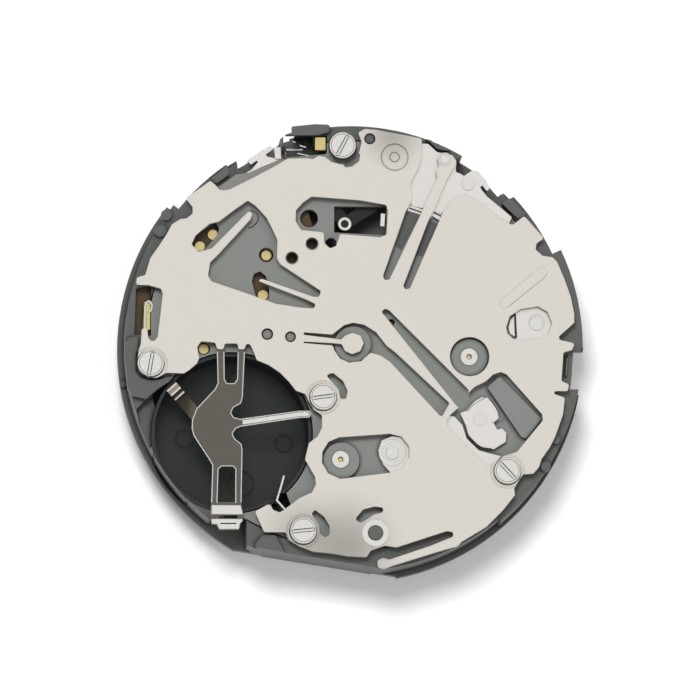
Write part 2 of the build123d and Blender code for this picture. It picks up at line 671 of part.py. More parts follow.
def train_bridge():
    bridge = rod(centre_place, bridge_radius, bridge_bottom, bridge_top)
    added = [rod(spot(screw_pixels[sunk_screw]), post_radius, bridge_bottom, cover_bottom)]
    for across, down, radius in bridge_pin_pixels:
        added.append(rod(spot((across, down)), span(radius), bridge_bottom, cover_top - pin_sink))
    for across, down, radius, top in boss_pixels:
        added.append(rod(spot((across, down)), span(radius), bridge_bottom, top))
    for outline in bridge_blocks:
        added.append(traced(outline, block_top, bridge_bottom, block_top, small_corner))
    bridge += added
    cuts = [rod(cup_place, cup_outer + part_gap, 0, cover_top)]
    for outline in pusher_bays:
        cuts.append(traced(outline, wall_top, 0, cover_top))
    for outline in bridge_windows:
        cuts.append(traced(outline, bridge_top, 0, cover_top, light_corner))
    for across, down, radius in bridge_holes:
        cuts.append(rod(spot((across, down), bridge_top), span(radius), 0, cover_top))
    cuts.append(traced(flat_line, casing_step_height, 0, cover_top))
    for outline in (ear_outline, *rim_blocks, leaf_bay, *terminal_bays, bridge_corner):
        cuts.append(traced(outline, block_top, 0, cover_top))
    for across, down, radius in rim_pins:
        cuts.append(rod(spot((across, down), rim_pin_top), span(radius) + running_gap, 0, cover_top))
    for index, pixel in enumerate([*screw_pixels, guide_post_pixel]):
        if index != sunk_screw:
            cuts.append(rod(spot(pixel), post_neck_radius + running_gap, 0, cover_top))
    cuts.append(rod(spot(screw_pixels[sunk_screw]), screw_shank_radius + running_gap,
                    cover_bottom - screw_length, cover_top))
    for place in (minute_counter_place, hour_counter_place):
        cuts.append(rod(place, bearing_radius, bearing_top - bearing_depth, cover_top))
    for place in (minute_counter_place, hour_counter_place, centre_place):
        cuts.append(rod(place, counter_pivot_radius + running_gap, 0, cover_top))
    for place in (seconds_place, third_place, fifth_place, time_rotor_place,
                  chrono_rotor_place):
        cuts.append(rod(place, pivot_radius + running_gap, 0, bridge_bottom + pivot_seat))
    for pixel in lever_stud_pixels:
        cuts.append(rod(spot(pixel), lever_stud_radius, bridge_top - lever_stud_depth, cover_top))
    bridge -= cuts
    studs = [rod(feed_place, stud_radius, feed_wheel_bottom - pinion_spare, bridge_top),
             rod(transfer_place, stud_radius, idler_wheel_bottom - pinion_spare, bridge_top)]
    return bridge + studs


def cover_plate():
    plate = slab([spot(pixel) for pixel in cover_outline], cover_bottom, cover_top, small_corner)
    embossed = []
    for pixel in screw_pixels:
        embossed.append(ring(spot(pixel), screw_ring_radius + screw_ring_width,
                             screw_ring_radius, cover_top, cover_top + ring_emboss))
    sheet = slab([spot(pixel) for pixel in cover_outline], cover_top, cover_top + ring_emboss,
                 small_corner)
    for first, last in ribs:
        embossed.append(bar(spot(first), spot(last), rib_width, cover_top, cover_top + rib_height))
    plate += [shape & sheet for shape in embossed]
    cuts = []
    for outline in (fork_window, setting_window, eye_window, upper_finger_slot, hammer_window,
                    lever_hole, obround_window, *kidney_slots):
        cuts.append(traced(outline, cover_top, cover_bottom, cover_top + overrun, small_corner))
    for across, down, radius in cover_holes:
        cuts.append(rod(spot((across, down)), span(radius), cover_bottom, cover_top + overrun))
    for across, down, outer, inner in (riveted_ring, riveted_stud_ring):
        cuts.append(ring(spot((across, down)), span(outer), span(inner),
                         cover_top - groove_depth, cover_top + overrun))
    cuts.append(rod(spot(hour_pivot_pixel), span(pivot_window_pixels), cover_bottom, cover_top))
    for pixel in screw_pixels:
        cuts.append(rod(spot(pixel), screw_shank_radius + part_gap, cover_bottom, cover_top))
    cuts.append(rod(spot(guide_post_pixel), guide_hole_radius, cover_bottom, cover_top))
    return plate - cuts


def battery_clamp():
    strap = traced(strap_outline, cover_top, cover_top - strap_thickness, cover_top, small_corner)
    latch = traced(latch_outline, cover_top, cover_top - strap_thickness, cover_top, small_corner)
    latch -= traced(latch_slot, cover_top, 0, cover_top + overrun, light_corner)
    return strap + latch


def cover_screws():
    screws = []
    for index, pixel in enumerate(screw_pixels):
        place = spot(pixel)
        screw = rod(place, screw_head_radius, cover_top, cover_top + screw_head_height)
        screw += rod(place, screw_shank_radius, cover_bottom - screw_length + running_gap, cover_top)
        slot = Box(3 * screw_head_radius, screw_slot_width, 2 * screw_slot_depth)
        screw -= Pos(place[0], place[1], cover_top + screw_head_height) * Rot(
            0, 0, screw_angles[index] + picture_turn) * slot
        screws.append(screw)
    return screws


def wheel(place, module, teeth, bottom, bore, thickness=wheel_thickness, phase=0):
    """A wheel with a bore."""
    body = gear(place, module, teeth, bottom, bottom + thickness, phase)
    if bore:
        body -= rod(place, bore, bottom - overrun, bottom + thickness + overrun)
    return body


def open_wheel(place, module, teeth, bottom, hub_radius, arms):
    """A wheel whose disc is opened between its arms."""
    body = gear(place, module, teeth, bottom, bottom + wheel_thickness)
    rim = module * teeth / 2 * rim_share
    holes = []
    hole_reach = (rim + hub_radius) / 2
    hole_radius = min((rim - hub_radius) / 2,
                      hole_reach * math.sin(math.pi / arms) - wheel_arm_width / 2)
    for index in range(arms):
        holes.append(rod(away(place, hole_reach, index * 360 / arms), hole_radius,
                         bottom - overrun, bottom + wheel_thickness + overrun))
    return body - holes


rim_share = 0.84
wheel_arms = 5
wheel_arm_width = 0.24
hub_radius = 0.7
magnet_radius = 0.72
magnet_bottom = 1.2
magnet_top = 1.8
sweep_post_top = 4.28
cam_thickness = 0.16
cam_radius = 0.62
cam_shares = ((1.0, 0), (0.95, 30), (0.86, 60), (0.76, 90), (0.64, 120), (0.5, 150), (0.34, 172),
              (0.26, 180), (0.34, 188), (0.5, 210), (0.64, 240), (0.76, 270), (0.86, 300),
              (0.95, 330))


def heart_cam(place, size, bottom):
    """The heart-shaped disc that a hammer turns back to zero."""
    return slab([away(place, size * share, angle) for share, angle in cam_shares],
                bottom, bottom + cam_thickness)


def counter_arbor(place, wheel_bottom, top):
    """A sub-dial's arbor: hand seat, thick part through the plate and upper pivot."""
    arbor = rod(place, counter_pivot_radius, sub_dial_tip, dial_seat_level)
    arbor += rod(place, arbor_radius, dial_seat_level, wheel_bottom)
    return arbor + rod(place, counter_pivot_radius, wheel_bottom, top)


def going_train():
    upper_pivot = bridge_bottom + pivot_seat
    lower_pivot = floor_top - pivot_depth + running_gap
    centre = open_wheel(centre_place, centre_module, centre_teeth, centre_wheel_bottom,
                        hub_radius, wheel_arms)
    centre -= rod(centre_place, cannon_bore_radius + running_gap, centre_wheel_bottom,
                  centre_wheel_bottom + wheel_thickness)
    third = open_wheel(third_place, third_module, third_teeth, third_wheel_bottom,
                       hub_radius, wheel_arms)
    third += gear(third_place, centre_module, third_pinion_teeth,
                  centre_wheel_bottom - pinion_spare, third_wheel_bottom)
    third += rod(third_place, pivot_radius, lower_pivot, upper_pivot - running_gap)
    fourth = wheel(seconds_place, fourth_module, fourth_teeth, fourth_wheel_bottom, 0)
    fourth += gear(seconds_place, third_module, fourth_pinion_teeth,
                   third_wheel_bottom - pinion_spare,
                   third_wheel_bottom + wheel_thickness + pinion_spare)
    fourth += counter_arbor(seconds_place, third_wheel_bottom - pinion_spare,
                            fourth_wheel_bottom)
    fourth += rod(seconds_place, pivot_radius, fourth_wheel_bottom, upper_pivot - running_gap)
    fifth = wheel(fifth_place, fifth_module, fifth_teeth, fifth_wheel_bottom, 0)
    fifth += gear(fifth_place, fourth_module, fifth_pinion_teeth,
                  fifth_wheel_bottom + wheel_thickness,
                  fourth_wheel_bottom + wheel_thickness + pinion_spare)
    fifth += rod(fifth_place, pivot_radius, lower_pivot, upper_pivot - running_gap)
    return {"centre_wheel": centre, "third_wheel": third, "small_seconds_wheel": fourth,
            "fifth_wheel": fifth,
            "time_rotor": rotor(time_rotor_place, fifth_module,
                                fifth_wheel_bottom + wheel_thickness + pinion_spare),
            "chrono_rotor": rotor(chrono_rotor_place, sweep_feed_module,
                                  feed_wheel_bottom + wheel_thickness + pinion_spare)}


def rotor(place, module, pinion_top):
    """A magnet with its pinion and pivots."""
    body = rod(place, magnet_radius, magnet_bottom, magnet_top)
    body += gear(place, module, rotor_pinion_teeth, magnet_top, pinion_top)
    return body + rod(place, pivot_radius, floor_top - pivot_depth + running_gap,
                      bridge_bottom + pivot_seat - running_gap)


def chronograph_train():
    sweep = open_wheel(centre_place, sweep_module, sweep_teeth, sweep_wheel_bottom,
                       hub_radius, wheel_arms)
    sweep += gear(centre_place, transfer_module, sweep_pinion_teeth,
                  sweep_wheel_bottom + wheel_thickness,
                  transfer_wheel_bottom + wheel_thickness + pinion_spare)
    sweep += heart_cam(centre_place, cam_radius, sweep_wheel_bottom - cam_thickness)
    cam_bottom = sweep_wheel_bottom - cam_thickness
    sweep += rod(centre_place, hand_pivot_radius, hand_tip, cannon_tip)
    sweep += rod(centre_place, sweep_arbor_radius, cannon_tip, cam_bottom)
    sweep += rod(centre_place, hand_pivot_radius, cam_bottom, sweep_post_top)
    feed = wheel(feed_place, sweep_feed_module, feed_teeth, feed_wheel_bottom, 0)
    feed += gear(feed_place, sweep_module, feed_pinion_teeth,
                 feed_wheel_bottom + wheel_thickness,
                 sweep_wheel_bottom + wheel_thickness + pinion_spare)
    feed -= rod(feed_place, stud_bore_radius, floor_top, bridge_top)
    transfer = open_wheel(transfer_place, transfer_module, transfer_teeth,
                          transfer_wheel_bottom, hub_radius, wheel_arms)
    transfer += gear(transfer_place, counter_module, transfer_pinion_teeth,
                     idler_wheel_bottom - pinion_spare, transfer_wheel_bottom)
    transfer -= rod(transfer_place, stud_bore_radius, floor_top, bridge_top)
    idlers = [wheel(place, counter_module, idler_teeth, idler_wheel_bottom, stud_bore_radius)
              for place in (idler_place, second_idler_place)]
    counter = wheel(minute_counter_place, counter_module, minute_counter_teeth,
                    idler_wheel_bottom, 0)
    counter += gear(minute_counter_place, hour_train_module, counter_pinion_teeth,
                    hour_transfer_bottom - pinion_spare,
                    hour_transfer_bottom + wheel_thickness + pinion_spare)
    counter += heart_cam(minute_counter_place, cam_radius,
                         idler_wheel_bottom + wheel_thickness)
    counter += counter_arbor(minute_counter_place, hour_transfer_bottom - pinion_spare,
                             bearing_top - bearing_depth / 2)
    hour_transfer = wheel(hour_transfer_place, hour_train_module, hour_transfer_teeth,
                          hour_transfer_bottom, 0)
    hour_transfer += gear(hour_transfer_place, hour_train_module, hour_transfer_pinion_teeth,
                          hour_transfer_bottom + wheel_thickness,
                          hour_idler_bottom + wheel_thickness + pinion_spare)
    hour_transfer -= rod(hour_transfer_place, stud_bore_radius, 0, bridge_bottom)
    hour_idlers = [wheel(place, hour_train_module, hour_idler_teeth, hour_idler_bottom,
                         stud_bore_radius)
                   for place in (hour_idler_place, second_hour_idler_place)]
    hour_counter = wheel(hour_counter_place, hour_train_module, hour_counter_teeth,
                         hour_idler_bottom, 0)
    hour_counter += heart_cam(hour_counter_place, cam_radius,
                              hour_idler_bottom + wheel_thickness)
    hour_counter += counter_arbor(hour_counter_place, hour_idler_bottom,
                                  bearing_top - bearing_depth / 2)
    return {"chrono_seconds_wheel": sweep, "chrono_intermediate_wheel": feed,
            "minute_transfer_wheel": transfer, "minute_first_idler": idlers[0],
            "minute_second_idler": idlers[1],
            "minute_counter_wheel": counter, "hour_transfer_wheel": hour_transfer,
            "hour_first_idler": hour_idlers[0], "hour_second_idler": hour_idlers[1],
            "hour_counter_wheel": hour_counter}


def motion_work():
    cannon_gear_bottom = minute_gear_bottom - pinion_spare / 2
    cannon_gear_top = minute_gear_bottom + minute_gear_thickness + pinion_spare / 2
    cannon = rod(centre_place, cannon_radius, cannon_tip, cannon_gear_top)
    cannon += rod(centre_place, cannon_body_radius, hour_tip, cannon_gear_bottom)
    cannon += gear(centre_place, motion_module, cannon_teeth, cannon_gear_bottom,
                   cannon_gear_top)
    cannon += rod(centre_place, cannon_body_radius, cannon_gear_top,
                  centre_wheel_bottom - running_gap)
    cannon -= rod(centre_place, cannon_bore_radius, cannon_tip - overrun, centre_wheel_bottom)
    hour = gear(centre_place, hour_module, hour_teeth, hour_gear_bottom,
                hour_gear_bottom + hour_gear_thickness)
    hour += gear(centre_place, date_module, date_pinion_teeth,
                 hour_gear_bottom + hour_gear_thickness,
                 gear_level + date_gear_thickness)
    hour += rod(centre_place, hour_tube_radius, hour_tip, dial_seat_level)
    hour += rod(centre_place, hour_shoulder_radius, dial_seat_level, hour_gear_bottom)
    hour -= rod(centre_place, hour_bore_radius, hour_tip - overrun, gear_level + overrun)
    minute = wheel(minute_place, motion_module, minute_teeth, minute_gear_bottom, 0,
                   minute_gear_thickness)
    minute += gear(minute_place, hour_module, minute_pinion_teeth, hour_gear_bottom,
                   minute_gear_bottom)
    minute += rod(minute_place, pivot_radius, guard_bottom + guard_thickness,
                  floor_top - pivot_depth + running_gap)
    setting = wheel(setting_place, motion_module, setting_teeth, minute_gear_bottom, 0,
                    minute_gear_thickness)
    setting += rod(setting_place, stud_radius, hour_gear_bottom, setting_crown_bottom)
    setting += gear(setting_place, motion_module, setting_crown_teeth, setting_crown_bottom,
                    setting_crown_bottom + wheel_thickness)
    idler = wheel(date_idler_place, date_module, date_idler_teeth, gear_level, 0,
                  date_gear_thickness)
    idler += rod(date_idler_place, stud_radius, guard_bottom + guard_thickness,
                 motion_pocket_top)
    drive = wheel(date_drive_place, date_module, date_drive_teeth, gear_level, 0,
                  date_gear_thickness)
    inward = math.degrees(math.atan2(-date_drive_place[1], -date_drive_place[0]))
    finger_tip = away(date_drive_place, date_finger_length - finger_width / 2, inward)
    drive += rod(date_drive_place, stud_radius * 2, finger_bottom, gear_level)
    drive += bar(date_drive_place, finger_tip, finger_width, finger_bottom,
                 finger_bottom + finger_thickness)
    drive += rod(date_drive_place, stud_radius, guard_bottom + guard_thickness,
                 motion_pocket_top)
    return {"cannon_pinion": cannon, "hour_wheel": hour, "minute_wheel": minute,
            "setting_wheel": setting, "date_idler": idler, "date_driving_wheel": drive}


setting_crown_bottom = floor_top + part_gap
setting_crown_teeth = 16


def date_parts():
    turned = ring(centre_place, date_ring_outer, date_ring_inner, date_ring_bottom,
                  date_ring_bottom + date_ring_thickness)
    teeth = []
    drive_angle = math.degrees(math.atan2(date_drive_place[1], date_drive_place[0]))
    depth = date_ring_inner - date_tooth_tip
    for index in range(date_days):
        angle = drive_angle + (index + 0.5) * 360 / date_days
        middle = away(centre_place, date_tooth_tip + depth / 2 + running_gap, angle)
        teeth.append(Pos(middle[0], middle[1], date_ring_bottom + date_ring_thickness / 2)
                     * Rot(0, 0, angle) * Box(depth + 2 * running_gap, date_tooth_width,
                                              date_ring_thickness))
    turned += teeth
    guard = rod(centre_place, guard_radius, guard_bottom, guard_bottom + guard_thickness)
    holes = [rod(centre_place, hour_shoulder_radius + part_gap, -overrun, guard_recess_depth)]
    for place in arbor_places:
        holes.append(rod(place, arbor_radius + part_gap, -overrun, guard_recess_depth))
    screws = []
    for angle in guard_screw_angles:
        place = away(centre_place, guard_screw_reach, angle)
        holes.append(rod(place, guard_screw_shank + running_gap, -overrun, guard_recess_depth))
        screw = rod(place, guard_screw_shank, guard_bottom, guard_screw_length - running_gap)
        screw += rod(place, guard_screw_radius, guard_bottom - guard_screw_head, guard_bottom)
        slot = Box(3 * guard_screw_radius, screw_slot_width, guard_screw_head)
        screw -= Pos(place[0], place[1], guard_bottom - guard_screw_head) * Rot(
            0, 0, angle * 2) * slot
        screws.append(screw)
    pivot = away(centre_place, jumper_pivot_reach, jumper_pivot_angle)
    beak_reach = date_tooth_tip + jumper_beak
    heel = away(centre_place, date_tooth_tip - jumper_width, jumper_beak_angle)
    tip = away(centre_place, beak_reach - jumper_beak, jumper_beak_angle)
    jumper = bar(pivot, heel, jumper_width, date_ring_bottom, date_ring_bottom + jumper_thickness)
    jumper += bar(heel, tip, 2 * jumper_beak, date_ring_bottom,
                  date_ring_bottom + jumper_thickness)
    jumper += rod(pivot, jumper_width, guard_bottom + guard_thickness, date_recess_depth)
    return {"date_ring": turned, "date_guard": guard - holes,
            "guard_screws": group(screws), "date_jumper": jumper}

# Levers on the bridge, seen through the cover's windows.
low_lever_bottom = 3.98
low_lever_top = 4.14
high_lever_bottom = 4.18
high_lever_top = 4.36
stud_head_radius = 0.42
start_lever_outline = [
    (384, 148), (392, 143.5), (402, 145), (412, 143), (421.8, 141.5), (428, 141.4), (437, 149.8),
    (446.3, 151.3), (452.5, 152.9), (456.3, 159), (455.5, 169.7), (460, 171.2), (464.7, 174.3),
    (477, 178.9), (480.8, 186.5), (486.9, 194.2), (512, 215), (507, 224), (492, 219), (470, 203),
    (452, 203), (441, 212), (428, 208), (412, 204), (404, 196), (397, 178), (384, 166), (380, 156)]
reset_lever_outline = [
    (198, 190), (207, 186.5), (216, 192), (240, 176), (252, 168.7), (259, 160), (266.7, 155.5),
    (274, 157), (284, 158), (290, 163), (300, 170), (296, 180), (278, 183), (250, 190),
    (222, 204), (212, 209), (202, 208), (196, 200)]
start_tab = [(469.5, 168), (477, 168.5), (485, 177), (489.5, 186), (486.5, 189), (480, 180)]
reset_tab = [(247.5, 160), (262, 149.5), (270.5, 145), (273.5, 148), (264, 155), (251, 164)]
start_tab_root = [(462, 175), (472, 168), (484, 180), (478, 188)]
reset_tab_root = [(256, 158), (264, 152), (272, 160), (262, 168)]
tab_bottom = 2.6
operating_outline = [
    (508, 240), (516, 234), (526, 238), (540, 266), (556, 296), (560, 322), (554, 342), (542, 350),
    (522, 348), (515, 338), (515, 300), (514, 274)]
hammer_outline = [
    (459.5, 412.5), (466, 410), (474, 400.5), (481, 396.5), (487, 397), (492, 403), (496.5, 410),
    (498, 417), (493, 422.5), (496.5, 429), (501, 427.5), (505.5, 432), (505, 441), (493, 448.6),
    (479, 446), (468, 435), (465, 424.5)]
minute_hammer_outline = [
    (378, 450), (381.5, 440), (392, 435.5), (406, 437), (430, 425), (446, 414.5), (454, 415.5),
    (462, 424), (466, 437), (478, 449), (492, 453), (501, 455), (493, 463), (484, 466),
    (466, 459), (440, 453), (420, 461), (404, 469), (391, 473), (383, 464)]

# Keyless work.
clutch_radius = 0.8
clutch_groove_radius = 0.55
clutch_length = 1.7
clutch_groove_share = 0.3
clutch_teeth = 12
clutch_bore = 0.36
clutch_tooth_depth = 0.18
setting_lever_bottom = 3.02
setting_lever_top = 3.24
setting_lever_width = 0.8
setting_lever_tail = (-2.7, 9.6)
setting_lever_tip = (0.3, 8.9)
setting_button_radius = 0.42
setting_button_top = 3.9
yoke_bottom = 2.2
yoke_top = 2.42
yoke_width = 0.5
yoke_post_radius = 0.3
setting_post_radius = 0.25

# Electric parts.
coil_margin = 3.8
coil_reach = rim_radius - coil_margin
coil_angles = (140, 40)
coil_half_length = 2.9
coil_winding_half = 1.6
coil_radius = 0.82
coil_level = 2.2
core_width = 0.8
core_height = 0.5
stator_bottom = 1.24
stator_thickness = 0.5
stator_hole_radius = 0.86
stator_ring_radius = 1.3
stator_arm_width = 0.8
stator_knees = ([(-6.2, 5.0), (-5.3, 7.6)], [(5.3, 4.4), (5.1, 7.6)])
board_margin = 0.5
board_outer = wall_inner_radius - board_margin
board_inner = 6.0
board_right_span = (-38, 72)
board_left_span = (114, 191)
board_strip_half = 0.32
board_strip_reach = 4.72
board_step = 6
chip_size = 2.2
chip_height = 0.6
chip_place = (9.6, 1.6)
quartz_place = (10.0, -3.2)
quartz_radius = 0.75
quartz_length = 5.0
quartz_turn = 78
pad_thickness = 0.06
pad_radius = 0.32
pad_pixels = [(200, 247), (213, 235), (266.3, 255.5), (263, 295.5), (204, 350)]
side_terminal = [(144.5, 303), (150.8, 303), (150.8, 331), (143.5, 331)]
corner_terminal = [(315, 136), (325.5, 136), (325.5, 149), (315, 149)]
side_terminal_top = 3.8
strip_pixels = [(171.5, 387.5), (176, 392.5), (183, 400.5), (198, 419), (214, 440)]
strip_width = 0.8
strip_thickness = 0.14
strip_levels = (4.02, 3.98, 3.2, 2.2, 1.5)
leaf_pixels = [(286, 511), (277, 501), (280.5, 490), (284, 477)]
leaf_thickness = 0.12
leaf_bottom = 2.4


def levers():
    start = traced(start_lever_outline, lever_top, low_lever_bottom, low_lever_top, small_corner)
    start += traced(start_tab, lever_top, tab_bottom, low_lever_top, light_corner)
    start += traced(start_tab_root, lever_top, low_lever_bottom, low_lever_top)
    start -= rod(spot(start_stud_pixel), lever_stud_radius + running_gap, low_lever_bottom,
                 low_lever_top)
    reset = traced(reset_lever_outline, lever_top, low_lever_bottom, low_lever_top, small_corner)
    reset += traced(reset_tab, lever_top, tab_bottom, low_lever_top, light_corner)
    reset += traced(reset_tab_root, lever_top, low_lever_bottom, low_lever_top)
    reset -= rod(spot(reset_stud_pixel), lever_stud_radius + running_gap, low_lever_bottom,
                 low_lever_top)
    operating = traced(operating_outline, lever_top, low_lever_bottom, low_lever_top, small_corner)
    operating -= rod(spot(operating_stud_pixel), lever_stud_radius + running_gap,
                     low_lever_bottom, low_lever_top)
    hammer = traced(hammer_outline, lever_top, high_lever_bottom, high_lever_top, light_corner)
    hammer -= rod(spot(hammer_stud_pixel), lever_stud_radius + running_gap,
                  high_lever_bottom, high_lever_top)
    low_hammer = traced(minute_hammer_outline, lever_top, low_lever_bottom, low_lever_top,
                        light_corner)
    low_hammer -= rod(spot(minute_hammer_stud_pixel), lever_stud_radius + running_gap,
                      low_lever_bottom, low_lever_top)
    return {"start_stop_lever": start, "reset_lever": reset, "operating_lever": operating,
            "hammer": hammer, "minute_hammer": low_hammer}


def lever_studs():
    studs = []
    for pixel in lever_stud_pixels:
        place = spot(pixel)
        top = high_lever_top if pixel == hammer_stud_pixel else low_lever_top
        stud = rod(place, lever_stud_radius, bridge_top - lever_stud_depth, top)
        stud += rod(place, stud_head_radius, top, top + running_gap * 2)
        studs.append(stud)
    return group(studs)


def keyless_work():
    clutch = Pos(0, clutch_centre_reach, stem_level) * Rot(90, 0, 0) * Cylinder(
        clutch_radius, clutch_length)
    groove = clutch_length * clutch_groove_share
    groove_place = Pos(0, clutch_centre_reach, stem_level) * Rot(90, 0, 0)
    clutch -= groove_place * (Cylinder(clutch_radius + overrun, groove)
                              - Cylinder(clutch_groove_radius, groove))
    clutch -= groove_place * Cylinder(clutch_bore, clutch_length + overrun)
    notches = []
    for index in range(clutch_teeth):
        notches.append(Pos(0, clutch_centre_reach - clutch_length / 2, stem_level)
                       * Rot(0, index * 360 / clutch_teeth, 0)
                       * Pos(clutch_radius, 0, 0)
                       * Box(clutch_radius, 2 * clutch_tooth_depth, clutch_tooth_depth))
    clutch -= notches
    lever = bar(setting_lever_tail, setting_lever_place, setting_lever_width,
                setting_lever_bottom, setting_lever_top)
    lever += bar(setting_lever_place, setting_lever_tip, setting_lever_width,
                 setting_lever_bottom, setting_lever_top)
    lever += rod(setting_lever_place, setting_button_radius, setting_lever_bottom,
                 setting_button_top)
    lever += rod(setting_lever_place, setting_post_radius, floor_top, setting_lever_bottom)
    beak = (clutch_groove_radius + part_gap + yoke_width / 4, clutch_centre_reach)
    yoke = bar(yoke_place, beak, yoke_width / 2, yoke_bottom, yoke_top)
    yoke += rod(yoke_place, yoke_width, yoke_bottom, yoke_top)
    yoke -= rod(yoke_place, yoke_post_radius + running_gap, yoke_bottom, yoke_top)
    post = rod(yoke_place, yoke_post_radius, floor_top, yoke_top + running_gap)
    post += rod(yoke_place, yoke_width, floor_top, yoke_bottom - running_gap)
    return {"clutch_wheel": clutch, "setting_lever": lever, "yoke": yoke, "yoke_post": post}


def motor(index, rotor_place):
    """A stator with its coil, for one of the two step motors."""
    angle = coil_angles[index]
    middle = away(centre_place, coil_reach, angle)
    side = -1 if index == 0 else 1
    low_end = away(middle, coil_half_length, angle - 90 * side * -1)
    high_end = away(middle, coil_half_length, angle + 90 * side * -1)
    if low_end[1] > high_end[1]:
        low_end, high_end = high_end, low_end
    run = math.degrees(math.atan2(high_end[1] - low_end[1], high_end[0] - low_end[0]))
    stator = rod(rotor_place, stator_ring_radius, stator_bottom, stator_bottom + stator_thickness)
    route = [rotor_place, *stator_knees[index], high_end]
    legs = [bar(first, last, stator_arm_width, stator_bottom, stator_bottom + stator_thickness)
            for first, last in zip(route, route[1:])]
    legs.append(bar(rotor_place, low_end, stator_arm_width, stator_bottom,
                    stator_bottom + stator_thickness))
    feet = [rod(end, stator_arm_width / 2 + edge_gap, stator_bottom,
                coil_level - core_height / 2) for end in (low_end, high_end)]
    stator += [*legs, *feet]
    stator -= rod(rotor_place, stator_hole_radius, stator_bottom - overrun,
                  stator_bottom + stator_thickness + overrun)
    core = bar(low_end, high_end, core_width, coil_level - core_height / 2,
               coil_level + core_height / 2)
    winding = Pos(middle[0], middle[1], coil_level) * Rot(0, 0, run) * Rot(0, 90, 0) * Cylinder(
        coil_radius, 2 * coil_winding_half)
    return stator, core, winding - core


def sector(outer, inner, span_angles, bottom, top):
    """A flat ring sector."""
    count = max(2, round((span_angles[1] - span_angles[0]) / board_step))
    turns = [span_angles[0] + (span_angles[1] - span_angles[0]) * step / count
             for step in range(count + 1)]
    points = [away(centre_place, outer, angle) for angle in turns]
    points += [away(centre_place, inner, angle) for angle in reversed(turns)]
    return slab(points, bottom, top)


def electric_parts():
    board = sector(board_outer, board_inner, board_right_span, board_bottom, board_top)
    board += [sector(board_outer, board_inner, board_left_span, board_bottom, board_top),
              slab([(-board_inner - board_strip_half, board_strip_reach - board_strip_half),
                    (board_inner + board_strip_half, board_strip_reach - board_strip_half),
                    (board_inner + board_strip_half, board_strip_reach + board_strip_half),
                    (-board_inner - board_strip_half, board_strip_reach + board_strip_half)],
                   board_bottom, board_top)]
    cuts = [rod(cup_place, cup_outer + free_gap, 0, cover_top)]
    for outline in (*pusher_bays, stem_bay, bridge_windows[0]):
        cuts.append(traced(outline, wall_top, 0, cover_top))
    for place in (hour_counter_place, seconds_place, fifth_place, time_rotor_place,
                  chrono_rotor_place, third_place):
        cuts.append(rod(place, arbor_radius + free_gap, 0, cover_top))
    for index, pixel in enumerate([*screw_pixels, guide_post_pixel]):
        if index != sunk_screw:
            cuts.append(rod(spot(pixel), post_radius + part_gap, 0, cover_top))
    cuts.append(bar(setting_lever_tail, setting_lever_place, 2 * setting_lever_width, 0, cover_top))
    board -= cuts
    chip = Pos(chip_place[0], chip_place[1], board_bottom - chip_height / 2) * Box(
        chip_size, chip_size, chip_height)
    quartz = Pos(quartz_place[0], quartz_place[1], board_bottom - quartz_radius - running_gap) \
        * Rot(0, 0, quartz_turn) * Rot(0, 90, 0) * Cylinder(quartz_radius, quartz_length)
    pads = [rod(spot(pixel, board_top), pad_radius, board_top, board_top + pad_thickness)
            for pixel in pad_pixels]
    return {"circuit_board": board, "control_chip": chip, "quartz_can": quartz,
            "board_contacts": group(pads),
            "gold_terminals": group([
                traced(outline, side_terminal_top, side_terminal_bottom, side_terminal_top,
                       light_corner) for outline in (side_terminal, corner_terminal)])}


def battery_contacts():
    points = [Vector(*spot(pixel, level), level)
              for pixel, level in zip(strip_pixels, strip_levels)]
    side = Vector(points[-1].X - points[0].X, points[-1].Y - points[0].Y).normalized()
    across = Vector(-side.Y, side.X) * (strip_width / 2)
    strip = None
    for first, last in zip(points, points[1:]):
        outline = [first, last, last + Vector(0, 0, strip_thickness),
                   first + Vector(0, 0, strip_thickness)]
        face = make_face(Polyline(*[point - across for point in outline], close=True))
        piece = extrude(face, amount=strip_width, dir=across.normalized())
        strip = piece if strip is None else strip + piece
    leaf_points = [spot(pixel, wall_top) for pixel in leaf_pixels]
    leaf = None
    for first, last in zip(leaf_points, leaf_points[1:]):
        piece = bar(first, last, leaf_thickness, leaf_bottom, wall_top)
        leaf = piece if leaf is None else leaf + piece
    return {"battery_contact_strip": strip, "side_contact_leaf": leaf}


def guide_post():
    place = spot(guide_post_pixel)
    post = rod(place, guide_post_radius, bridge_bottom, cover_top + guide_collar_height)
    collar = ring(place, guide_collar_radius, guide_post_radius + running_gap, cover_top,
                  cover_top + guide_collar_height / 2)
    return post, collar


def bearings():
    bushes = []
    for place in (minute_counter_place, hour_counter_place):
        bushes.append(ring(place, bearing_radius - running_gap / 3,
                           counter_pivot_radius + running_gap,
                           bearing_top - bearing_depth, bearing_top))
    return group(bushes)


save("main_plate", main_plate())
save("battery_cup", battery_cup())
save("train_bridge", train_bridge())
save("cover_plate", cover_plate())
save("battery_clamp", battery_clamp())
save("cover_screws", group(cover_screws()))
post_piece, collar_piece = guide_post()
save("guide_post", post_piece)
save("guide_collar", collar_piece)
save("pivot_bearings", bearings())
save("lever_studs", lever_studs())
for made in (going_train(), chronograph_train(), motion_work(), date_parts(), levers(),
             keyless_work(), electric_parts(), battery_contacts()):
    for name, shape in made.items():
        save(name, shape)
for index, (kind, place) in enumerate((("time", time_rotor_place),
                                       ("chrono", chrono_rotor_place))):
    stator_piece, core_piece, winding_piece = motor(index, place)
    save(kind + "_stator", stator_piece)
    save(kind + "_coil_core", core_piece)
    save(kind + "_coil_winding", winding_piece)
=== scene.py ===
import json
import math

import bmesh
import bpy
from mathutils import Matrix, Vector


